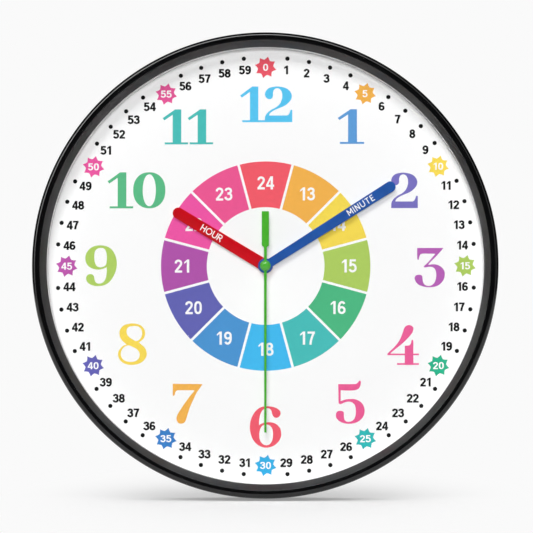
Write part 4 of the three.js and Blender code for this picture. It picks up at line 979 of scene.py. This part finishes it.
@functools.cache
def plainShape(mark, pen):
    parts = plainStrokes[mark]
    ink = [penStroke(smoothLine(line, False), pen) for line in parts.get('strokes', [])]
    swell = max(pen - fillPen, 0) / 2
    holes = []
    for kind, group, inset in (('fills', ink, -swell), ('cuts', holes, swell)):
        for loop in [smoothLine(line) for line in parts.get(kind, [])]:
            group.append(insetLoop(loop if signedArea(loop) > 0 else loop[::-1], inset))
    for x, y, reachX, reachY, power in parts.get('rings', []):
        for group, grow in ((ink, pen / 2), (holes, -pen / 2)):
            group.append(oval((x, y), (reachX + grow, reachY + grow), power, 24))
    return fillShape(ink, holes)


def writeLine(sheet, text, centre, look, rear, turn=0.0):
    # look: cap height, widening, pen and gap in cap heights, and the ink's thickness in mm
    shapes = [plainShape(mark, look['pen']) for mark in text]
    spans = []
    for mark, shape in zip(text, shapes):
        xs = [p.x for p in shape[0]]
        spans.append(digitCell.get(mark, otherCell) if mark.isdigit() else (min(xs), max(xs)))
    widths = [(high - low) * look['wide'] for low, high in spans]
    pen = -(sum(widths) + look['gap'] * (len(text) - 1)) / 2
    heading = Matrix.Rotation(turn, 2)
    for shape, (low, high), width in zip(shapes, spans, widths):
        def place(p, start=pen, low=low):
            local = Vector((start + (p.x - low) * look['wide'], p.y - 0.5)) * look['cap']
            return centre + heading @ local
        layFlat(sheet, shape, place, rear, rear + look['ink'])
        pen += width + look['gap']


def printedShape(loop):
    sheet = newSheet()
    layFlat(sheet, fillShape([loop]), lambda p: p, dialFront, printFront)
    return sheet


# Ring of 24-hour sectors: twelve slabs with straight white gaps of even width between them
ringSize = {'inner': 38.1, 'outer': 67.8, 'gap': 1.6, 'numberRadius': 53.9, 'arcSteps': 14}


def sectorOutline(size):
    half, steps = size['gap'] / 2, size['arcSteps']
    outline = []
    for reach, way in ((size['outer'], 1), (size['inner'], -1)):
        side = fullTurn / 24 - math.asin(half / reach)
        arc = [polar(-side + 2 * side * i / steps, reach) for i in range(steps + 1)]
        outline += arc[::way]
    return outline


ringSkins = [printedInk(f'ink_ring_{i + 12 if i else 24}', c) for i, c in enumerate(ringInk)]
newPiece('ring_of_24', setOut('ring_of_24', makeSetOutTree('set_out_sectors', ringSkins),
                              printedShape(sectorOutline(ringSize)), ringSkins[0], 12,
                              turnWith=1.0), [], 'root', 'dial_print')
ringLook = {'cap': 8.5, 'wide': 1.0, 'pen': 0.165, 'gap': 0.08, 'ink': 0.08}
ringNumbers = newSheet()
for place in range(12):
    centre = polar(upright - fullTurn * place / 12, ringSize['numberRadius'])
    writeLine(ringNumbers, str(place + 12 if place else 24), centre, ringLook, dialFront)
newPiece('ring_numbers', ringNumbers, [white], 'root', 'dial_print')

# Minute track: dots, plain minute numbers, and an eight-pointed badge at every fifth minute
trackSize = {
    'dotRadius': 135.3, 'dotSize': 1.41, 'numberRadius': 127.9, 'badgeRadius': 128.95,
    'starTip': 7.15, 'starValley': 5.0, 'starTurn': math.radians(77), 'starBow': 0.175,
}
newPiece('minute_dots', setOut('minute_dots', setOutTree,
                               printedShape(ring(trackSize['dotSize'], 16)), black, 60,
                               trackSize['dotRadius'], skip=5), [], 'root', 'dial_print')


def starOutline(size):
    # eight points whose sides bow in a little
    corners = [polar(size['starTurn'] + math.pi / 4 * (i / 2),
                     size['starValley'] if i % 2 else size['starTip']) for i in range(17)]
    outline = []
    for start, end in zip(corners, corners[1:]):
        middle = (start + end) / 2
        outline += [start, middle - middle.normalized() * size['starBow']]
    return outline


badgeSkins = [printedInk(f'ink_badge_{i * 5}', c) for i, c in enumerate(badgeInk)]
newPiece('badges', setOut('badges', makeSetOutTree('set_out_badges', badgeSkins),
                          printedShape(starOutline(trackSize)), badgeSkins[0], 12,
                          trackSize['badgeRadius']), [], 'root', 'dial_print')

minuteLook = {'cap': 5.4, 'wide': 1.1, 'pen': 0.23, 'gap': 0.07, 'ink': 0.04}
badgeLook = {'cap': 4.6, 'wide': 1.2, 'pen': 0.17, 'gap': 0.09, 'ink': 0.08}
minuteNumbers, badgeNumbers = newSheet(), newSheet()
for minute in range(60):
    sheet, look, reach = (
        (minuteNumbers, minuteLook, trackSize['numberRadius']) if minute % 5
        else (badgeNumbers, badgeLook, trackSize['badgeRadius']))
    writeLine(sheet, str(minute), polar(upright - fullTurn * minute / 60, reach), look, dialFront)
newPiece('minute_numbers', minuteNumbers, [black], 'root', 'dial_print')
newPiece('badge_numbers', badgeNumbers, [white], 'root', 'dial_print')
print('dial printed')

# Hands: stamped straps with a rolled edge, a hub and a collet that grips its pipe

handSize = {
    'hub': 4.8, 'thickness': 0.6, 'edge': 0.18, 'colletHeight': 1.2, 'colletWall': 0.8,
    'colletEdge': 0.1,
    'hour': {'reach': 69.7, 'root': 7.9, 'tip': 7.3, 'bore': 2.9, 'angle': 148.8},
    'minute': {'reach': 98.9, 'root': 5.5, 'tip': 7.0, 'bore': 1.85, 'angle': 32.3},
}
# each word's middle, and the half turn that keeps HOUR upright on the left side of the dial
wordSize = {
    'hour': {'angle': 148.6, 'reach': 40.8, 'halfTurns': 1,
             'look': {'cap': 4.35, 'wide': 1.0, 'pen': 0.14, 'gap': 0.12, 'ink': 0.03}},
    'minute': {'angle': 32.4, 'reach': 72.9, 'halfTurns': 0,
               'look': {'cap': 4.1, 'wide': 1.0, 'pen': 0.14, 'gap': 0.23, 'ink': 0.03}},
}
overlap = 0.01  # how far touching parts of one piece reach into each other


def strapWithHub(reach, root, tip, hub):
    half, tipHalf = root / 2, tip / 2
    tipCentre = reach - tipHalf
    meet = math.sqrt(hub ** 2 - half ** 2)
    start = math.atan2(half, meet)
    back = [polar(start + (fullTurn - 2 * start) * i / 40, hub) for i in range(41)]
    nose = [Vector((tipCentre, 0)) + polar(math.pi * (i / 20 - 0.5), tipHalf) for i in range(21)]
    return back + nose


def makeHand(size, dims, colletRear):
    rear = colletRear + size['colletHeight']
    front = rear + size['thickness']
    turn = Matrix.Rotation(math.radians(dims['angle']), 2)
    outline = [turn @ p for p in strapWithHub(dims['reach'], dims['root'], dims['tip'],
                                              size['hub'])]
    bore = ring(dims['bore'], 40)
    sheet = slab([outline, bore], roundedLayers(rear, front, size['edge'], 3))
    slab([ring(dims['bore'] + size['colletWall'], 40), bore],
         roundedLayers(colletRear, rear + overlap, size['colletEdge']), sheet)
    return sheet, front


handFront = {}
for hand in wordSize:
    strap, handFront[hand] = makeHand(handSize, handSize[hand], depthOf(hand + '_hand')[0])
    newPiece(hand + '_strap', strap, [finish[hand + '_hand_paint']], hand + 's_assembly',
             hand + '_hand_paint', [hand + '_hand'])
for hand, word in wordSize.items():
    letters, turn = newSheet(), math.radians(handSize[hand]['angle'])
    writeLine(letters, hand.upper(), polar(math.radians(word['angle']), word['reach']),
              word['look'], handFront[hand], turn - math.pi * word['halfTurns'])
    newPiece(hand + '_word', letters, [white], hand + 's_assembly', hand + '_hand_paint')

secondSize = {
    'reach': 107.7, 'root': 1.8, 'tip': 1.4, 'paddleStart': 11.8, 'paddleEnd': 35.2,
    'paddleWidth': 4.6, 'chamfer': 1.3, 'corner': 0.3, 'tipCorner': 0.25, 'edge': 0.12,
    'capRadius': 3.5, 'capHeight': 2.5, 'capEdge': 0.1, 'capRear': 0.02, 'colletHeight': 0.6,
    'thickness': 0.4, 'bore': 0.8, 'colletWall': 0.8, 'angle': -90,
}


def makeSecondHand(size):
    colletRear = depthOf('second_hand')[0]
    rear = colletRear + size['colletHeight']
    front = rear + size['thickness']
    start, end = size['paddleStart'], size['paddleEnd']
    half = [(size['reach'], size['tip'] / 2, size['tipCorner'])]
    half += [(x, y / 2, size['corner']) for x, y in (
        (-start, size['root']), (-start - size['chamfer'], size['paddleWidth']),
        (-end, size['paddleWidth']))]
    outline = filletedLine(half + [(x, -y, radius) for x, y, radius in reversed(half)], 3)
    turn = Matrix.Rotation(math.radians(size['angle']), 2)
    sheet = slab([[turn @ p for p in outline]], roundedLayers(rear, front, size['edge']))
    cap, top, foot = size['capRadius'], front + size['capHeight'], rear - size['capRear']
    dome = [(cap * math.cos(a), front + size['capHeight'] * math.sin(a))
            for a in quarterArc(14)[:-1]]
    turned([(0, foot), (cap - size['capEdge'], foot), (cap, rear + size['capEdge']), *dome,
            (0, top)], 48, sheet)
    slab([ring(size['bore'] + size['colletWall'], 24), ring(size['bore'], 24)],
         [(colletRear, 0), (rear + overlap, 0)], sheet)
    return sheet


newPiece('second_needle', makeSecondHand(secondSize), [finish['second_hand_plastic']],
         'seconds_assembly', 'second_hand_plastic', ['second_hand'])
print('hands made')

# Back plate: tray with a rim and a screwed flange, ribs, the fence and clasps round the movement,
# and the hollow hanger with its keyhole


def benchSpan(node):
    low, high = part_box(node)
    return ((low.x * 1000, high.x * 1000),
            ((low.z - handAxisHeight) * 1000, (high.z - handAxisHeight) * 1000))


caseX, caseY = benchSpan('movement_front_case')
coverX, coverY = benchSpan('movement_rear_cover')
coverRear = depthOf('movement_rear_cover')[0]
plateSize = {
    'hole': 4.3, 'rear': 17.1, 'front': 19.3, 'rimInner': 141.3, 'rimOuter': 142.8,
    'rimFront': 29.8, 'flangeRear': 9.6, 'flangeFront': 11.8, 'flangeOuter': 147.5,
    'ribHeight': 4.0, 'ribHalf': 1.0, 'ribDraft': 0.18, 'ribEdge': 0.3, 'ribRing': 94.0,
    'ribRingEdge': 0.35, 'ribStart': 38.6, 'rootDepth': 0.1, 'ribOverlap': 0.2,
    'ribReach': 141.9, 'fenceGap': 0.3, 'fenceWall': 1.6, 'fenceEdge': 0.4, 'corner': 2.5,
    'markAcross': 20.0, 'markDown': 6.0, 'markHeight': 0.4, 'markRoot': 0.05,
    'markEdge': 0.1,
    'marks': {-1: [(2.0, 0.45)], 1: [(2.0, 0.45), (0.45, 2.0)]},  # minus on the left, plus right
}
plateRibs = {'rear': plateSize['rear'] - plateSize['ribHeight'],
             'front': plateSize['rear'] + plateSize['rootDepth']}
hangerSize = {
    'half': 17.0, 'bottom': 101.0, 'top': 129.0, 'rear': 3.6, 'wall': 1.8, 'corner': 4.0,
    'pocketCorner': 2.2, 'edge': 0.5, 'keyY': 109.5, 'keyRadius': 4.5, 'slotHalf': 2.5,
    'slotTop': 120.5,
}
claspSize = {'width': 8.0, 'thickness': 1.6, 'hook': 1.3, 'gap': 0.3, 'edge': 0.06, 'root': 0.5}


def roundedBox(spanX, spanY, radius, steps=5):
    return filletedLine([(spanX[i], spanY[j], radius)
                         for i, j in ((0, 0), (1, 0), (1, 1), (0, 1))], steps)


def grown(span, margin):
    return span[0] - margin, span[1] + margin


def mapped(part, sheet, origin, across):
    # stands up a part drawn flat: its x runs along across, and its y forwards from the wall
    across, forwards = Vector(across), Vector((0, 0, 1))
    side = across.cross(forwards)
    first = len(sheet['points'])
    for x, y, z in part['points']:
        sheet['points'].append(tuple(Vector(origin) + across * x + forwards * y + side * z))
    addFaces(sheet, part['faces'], first, part['inks'])


def ribPart(start, end, size):
    # a rib along x, thinner at its free rear edge
    rear, draft, edge = plateRibs['rear'], size['ribDraft'], size['ribEdge']
    return slab([box(Vector(((start + end) / 2, 0)), (end - start) / 2, size['ribHalf'])],
                [(rear, draft + edge), (rear + edge, draft), (plateRibs['front'], 0)])


def makeHanger(size, sheet):
    spanX, spanY = (-size['half'], size['half']), (size['bottom'], size['top'])
    shell = roundedBox(spanX, spanY, size['corner'], 7)
    pocket = roundedBox(grown(spanX, -size['wall']), grown(spanY, -size['wall']),
                        size['pocketCorner'])
    mouth = math.asin(size['slotHalf'] / size['keyRadius'])
    key = [Vector((0, size['slotTop'])) + polar(math.pi * i / 12, size['slotHalf'])
           for i in range(13)]
    key += [Vector((0, size['keyY'])) + polar(upright + mouth + (fullTurn - 2 * mouth) * i / 28,
                                             size['keyRadius']) for i in range(29)]
    wallFront = size['rear'] + size['wall']
    slab([shell, key], rearRounded(size['rear'], wallFront, size['edge']), sheet)
    slab([shell, pocket], [(wallFront, 0), (plateRibs['front'], 0)], sheet)


def makeBackPlate(size, hanger, clasp):
    rimInner, rimOuter, flange = size['rimInner'], size['rimOuter'], size['flangeOuter']
    tray = sweptRing('tray', filletedLine([
        (size['hole'], size['rear'], 0), (size['hole'], size['front'], 0),
        (rimInner, size['front'], 0.3), (rimInner, size['rimFront'], 0.25),
        (rimOuter, size['rimFront'], 0.25), (rimOuter, size['flangeFront'], 0.3),
        (flange, size['flangeFront'], 0.3), (flange, size['flangeRear'], 0.5),
        (rimInner, size['flangeRear'], 0.6), (rimInner, size['rear'], 0.8),
    ], 3), finish['back_plastic'], 240)
    low, high = grown((size['ribRing'], size['ribRing']), size['ribHalf'])
    edge = size['ribRingEdge']
    ringRib = sweptRing('ring_rib', filletedLine([
        (low, plateRibs['rear'], edge), (low, plateRibs['front'], 0),
        (high, plateRibs['front'], 0), (high, plateRibs['rear'], edge),
    ], 2), finish['back_plastic'], 180)
    short, reach, inset = size['ribStart'], size['ribReach'], size['ribOverlap']
    ribs = setOut('ribs', setOutTree, ribPart(short, reach, size), finish['back_plastic'], 8,
                  skip=8, turnWith=1.0)
    sheet = newSheet()
    fence = [grown(span, size['fenceGap']) for span in (caseX, caseY)]
    outerX, outerY = outer = [grown(span, size['fenceWall']) for span in fence]
    slab([roundedBox(*outer, size['corner'] + size['fenceWall']),
          roundedBox(*fence, size['corner'])],
         rearRounded(plateRibs['rear'], plateRibs['front'], size['fenceEdge']), sheet)
    for angle, start, end in ((0, outerX[1], short), (180, -outerX[0], short),
                              (270, -outerY[0], short), (90, outerY[1], hanger['bottom']),
                              (90, hanger['top'], reach)):
        part = ribPart(start - inset, end + inset, size)
        part['points'] = [(x, z, -y) for x, y, z in part['points']]
        mapped(part, sheet, (0, 0, 0), (*polar(math.radians(angle), 1), 0))
    makeHanger(hanger, sheet)
    addClasps(sheet, clasp)
    for side, bars in size['marks'].items():  # which way round the cell goes
        middle = Vector((side * size['markAcross'], outerY[0] - size['markDown']))
        for bar in bars:
            slab([box(middle, *bar)],
                 rearRounded(size['rear'] - size['markHeight'], size['rear'] + size['markRoot'],
                             size['markEdge']), sheet)
    return joined([tray, ringRib, ribs, sheetMesh('fittings', sheet)])


def addClasps(sheet, clasp):
    # a sprung leg with a hook whose lead-in slope lets the movement snap past it
    hookFront = coverRear - clasp['gap']
    tip, root = hookFront - clasp['thickness'], plateSize['rear'] + clasp['root']
    gap, thick, edge = clasp['gap'], clasp['thickness'], clasp['edge']
    profile = filletedLine([
        (gap, root, 0), (gap, hookFront, 0.2), (-clasp['hook'], hookFront, 0.15),
        (-clasp['hook'], hookFront - thick / 2, 0.25), (gap, tip, 0.4),
        (gap + thick, tip, 0.5), (gap + thick, root, 0)], 3)
    half = clasp['width'] / 2
    part = slab([profile], [(-half, edge), (edge - half, 0), (half - edge, 0), (half, edge)])
    sideY, topX = (coverY[0] - gap + caseY[1]) / 2, caseX[1] / 2
    for x, y, outward in ((caseX[1], sideY, (1, 0, 0)), (caseX[0], sideY, (-1, 0, 0)),
                          (topX, caseY[1], (0, 1, 0)), (-topX, caseY[1], (0, 1, 0))):
        mapped(part, sheet, (x, y, 0), outward)


newPiece('back_shell', makeBackPlate(plateSize, hangerSize, claspSize), [finish['back_plastic']],
         'root', 'back_plastic', ['back_plate'], crease=40)

# Screws: pan heads with a cross recess, each left at the angle where it came tight
screwSize = {
    'head': 2.0, 'rear': 7.9, 'seat': 9.3, 'shank': 0.8, 'end': 18.8,
    'recess': 1.0, 'slotHalf': 0.27, 'recessDepth': 0.8, 'flat': 1.45, 'flatEdge': 0.06, 'lap': 0.02,
    'crown': [(1.65, 0.06), (1.85, 0.3), (2.0, 0.7)],  # radius, and how far below the flat
}


def makeScrews(size):
    rear, flat, lap = size['rear'], size['flat'], size['lap']
    depth = rear + size['recessDepth']
    arm, half = size['recess'], size['slotHalf']
    cross = [Vector(p) for p in (
        (half, half), (half, arm), (-half, arm), (-half, half), (-arm, half), (-arm, -half),
        (-half, -half), (-half, -arm), (half, -arm), (half, -half), (arm, -half), (arm, half))]
    shank, end = size['shank'], size['end']
    sheet = turned([
        (0, depth), (flat - lap, depth), (flat - lap, rear),
        *[(radius, rear + below) for radius, below in size['crown']],
        (size['head'], size['seat']), (shank, size['seat']), (shank, end - shank), (0, end)], 32)
    slab([ring(flat, 32), cross],
         [(rear, size['flatEdge'] / 2), (rear + size['flatEdge'], 0), (depth + lap, 0)], sheet)
    return setOut('back_screws', setOutTree, sheet, finish['screw_steel'], randomTurn=1.5, seed=11,
                  **screwRing)


newPiece('back_screws', makeScrews(screwSize), [], 'root', 'screw_steel',
         [f'back_screw_{i}' for i in range(1, 7)])

# Movement: the CAD solids with their hard edges rounded as a mould or a press leaves them
softEdges = {  # radius in millimetres
    'movement_front_case': 0.25, 'movement_rear_cover': 0.3, 'positive_contact': 0.06,
    'negative_contact': 0.06, 'coil_bobbin': 0.15, 'circuit_chip': 0.1, 'circuit_board': 0.08,
    'quartz_crystal': 0.25, 'stator': 0.06, 'coil_core': 0.06,
}


def softened(node, radius):
    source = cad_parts[node]
    shape = bmesh.new()
    shape.from_mesh(source.data)
    shape.transform(benchToWorld.inverted() @ source.matrix_world)
    bmesh.ops.remove_doubles(shape, verts=shape.verts, dist=0.002)
    bmesh.ops.dissolve_limit(shape, angle_limit=math.radians(0.5), verts=shape.verts,
                             edges=shape.edges)
    hard = [edge for edge in shape.edges if edge.calc_face_angle(0) > math.radians(40)]
    bmesh.ops.bevel(shape, geom=hard, offset=radius, segments=2, profile=0.5, affect='EDGES',
                    clamp_overlap=True)
    mesh = bpy.data.meshes.new(node + '_moulded')
    shape.to_mesh(mesh)
    shape.free()
    return mesh


for node, radius in softEdges.items():
    newPiece(node + '_moulded', softened(node, radius), [finish[slotOf[node]]], 'root',
             slotOf[node], [node])

# Cover marks: a raised border and two arrows round the knob, one for each way it turns
knobX, knobY = benchSpan('set_knob')
knobCentre = Vector((sum(knobX) / 2, sum(knobY) / 2))
markSize = {'border': 1.5, 'width': 0.5, 'corners': (1.6, 1.1), 'height': 0.25, 'edge': 0.1,
            'root': 0.05, 'arrow': (8.6, 9.3), 'head': 0.7, 'from': 32, 'to': 68}


def arrowLoop(centre, inner, outer, start, end, head):
    # a curved arrow with its point at the end angle, angles in degrees
    steps, pointLength = 8, 2.2 * head
    neck = end - math.copysign(math.degrees(pointLength / outer), end - start)
    angles = [math.radians(start + (neck - start) * i / steps) for i in range(steps + 1)]
    return ([centre + polar(a, outer) for a in angles]
            + [centre + polar(angles[-1], outer + head),
               centre + polar(math.radians(end), (inner + outer) / 2),
               centre + polar(angles[-1], inner - head)]
            + [centre + polar(a, inner) for a in reversed(angles)])


def makeMarks(size):
    layers = rearRounded(coverRear - size['height'], coverRear + size['root'], size['edge'])
    insets = size['border'], size['border'] + size['width']
    sheet = slab([roundedBox(grown(coverX, -inset), grown(coverY, -inset), corner)
                  for inset, corner in zip(insets, size['corners'])], layers)
    for start, end in ((size['from'], size['to']), (180 - size['from'], 180 - size['to'])):
        slab([arrowLoop(knobCentre, *size['arrow'], start, end, size['head'])], layers, sheet)
    return sheet


newPiece('cover_marks', makeMarks(markSize), [finish['case_plastic']], 'root', 'case_plastic')

# Setting knob: fluted rim, a dish for the finger and a raised arrow
knobSize = {'radius': 7.0, 'flutes': 28, 'fluteDepth': 0.4, 'dish': 4.8, 'dishDepth': 0.6,
            'edge': 0.25, 'arrow': (2.6, 3.3), 'head': 0.6, 'from': 200, 'to': -20,
            'arrowHeight': 0.2, 'arrowRoot': 0.05, 'arrowEdge': 0.08}


def makeKnob(size):
    rear, front = depthOf('set_knob')
    count = size['flutes'] * 8
    outline = []
    for i in range(count):
        wave = (0.5 - 0.5 * math.cos(fullTurn * size['flutes'] * i / count)) ** 2
        outline.append(knobCentre + polar(fullTurn * i / count,
                                          size['radius'] - size['fluteDepth'] * wave))
    dish = [knobCentre + spot for spot in ring(size['dish'], 48)]
    edge, floor = size['edge'], rear + size['dishDepth']
    sheet = slab([outline, dish], rearRounded(rear, floor, edge))
    slab([outline], [(floor, 0), (front - edge, 0), (front, edge)], sheet)
    slab([arrowLoop(knobCentre, *size['arrow'], size['from'], size['to'], size['head'])],
         rearRounded(floor - size['arrowHeight'], floor + size['arrowRoot'], size['arrowEdge']),
         sheet)
    return sheet


newPiece('fluted_knob', makeKnob(knobSize), [finish['knob_plastic']], 'setting_assembly',
         'knob_plastic', ['set_knob'])

# AA cell: shrunk jacket in two plain colours, pressed steel ends, the nub towards +x
cellX, cellY = benchSpan('battery')
cellDepth = depthOf('battery')
cellSize = {'radius': 7.25, 'fold': 5.9, 'corner': 0.5, 'endStep': 0.15,
            'dimple': (4.3, 4.7), 'dimpleDepth': 0.02, 'nubFoot': (3.65, 2.95), 'nub': 2.75,
            'nubEdge': 0.25, 'nubHeight': 1.0, 'bandShare': 0.26, 'mark': 1.6, 'markHalf': 0.32,
            'minusAt': 6, 'plusAt': 5, 'markLayers': [(-0.05, 0), (0.03, 0)], 'sides': 56}


def makeCell(size):
    start, nubEnd = cellX
    end = nubEnd - size['nubHeight']
    radius, corner, fold, step = size['radius'], size['corner'], size['fold'], size['endStep']
    band = end - (end - start) * size['bandShare']
    corners = [(radius - corner * (1 - math.sin(a)), corner * (1 - math.cos(a)))
               for a in (0, 0.5, 1.05, upright)]
    nub, edge, dip = size['nub'], size['nubEdge'], start + size['dimpleDepth']
    rearEnd = [(0, dip), (size['dimple'][0], dip), (size['dimple'][1], start + step),
               (fold, start + step)]
    jacket = [(fold, start)] + [(r, start + s) for r, s in corners] + [(radius, band)]
    top = [(r, end - s) for r, s in reversed(corners)] + [(fold, end)]
    frontEnd = [(fold, end - step), (size['nubFoot'][0], end - step), (size['nubFoot'][1], end),
                (nub, end + edge), (nub, nubEnd - edge), (nub - edge, nubEnd), (0, nubEnd)]
    part = turned(rearEnd + jacket + top + frontEnd, size['sides'])
    inks = [1] * len(rearEnd) + [0] * (len(jacket) - 1) + [2] * len(top) + [1] * len(frontEnd)
    part['inks'] = [ink for ink in inks for _ in range(size['sides'])]
    sheet = newSheet()
    centreY, centreZ = sum(cellY) / 2, sum(cellDepth) / 2
    mapped(part, sheet, (0, centreY, centreZ), (0, 1, 0))
    marks = newSheet()
    reach, half = size['mark'], size['markHalf']
    for x, bars in ((start + size['minusAt'], [(reach, half)]),
                    (end - size['plusAt'], [(half, reach), (reach, half)])):
        for across, along in bars:
            line = [Vector((x, -along + 2 * along * i / 6)) for i in range(7)]
            slab([penStroke(line, 2 * across)], size['markLayers'], marks)
    first = len(sheet['points'])
    for x, around, height in marks['points']:  # bent round the jacket
        angle, out = around / radius, radius + height
        sheet['points'].append((x, centreY - out * math.sin(angle),
                                centreZ - out * math.cos(angle)))
    addFaces(sheet, marks['faces'], first, [3])
    return sheet


newPiece('dry_cell', makeCell(cellSize),
         [finish['battery_jacket'], finish['contact_steel'], finish['battery_band'], white],
         'root', 'battery_jacket', ['battery'])
print('back made')
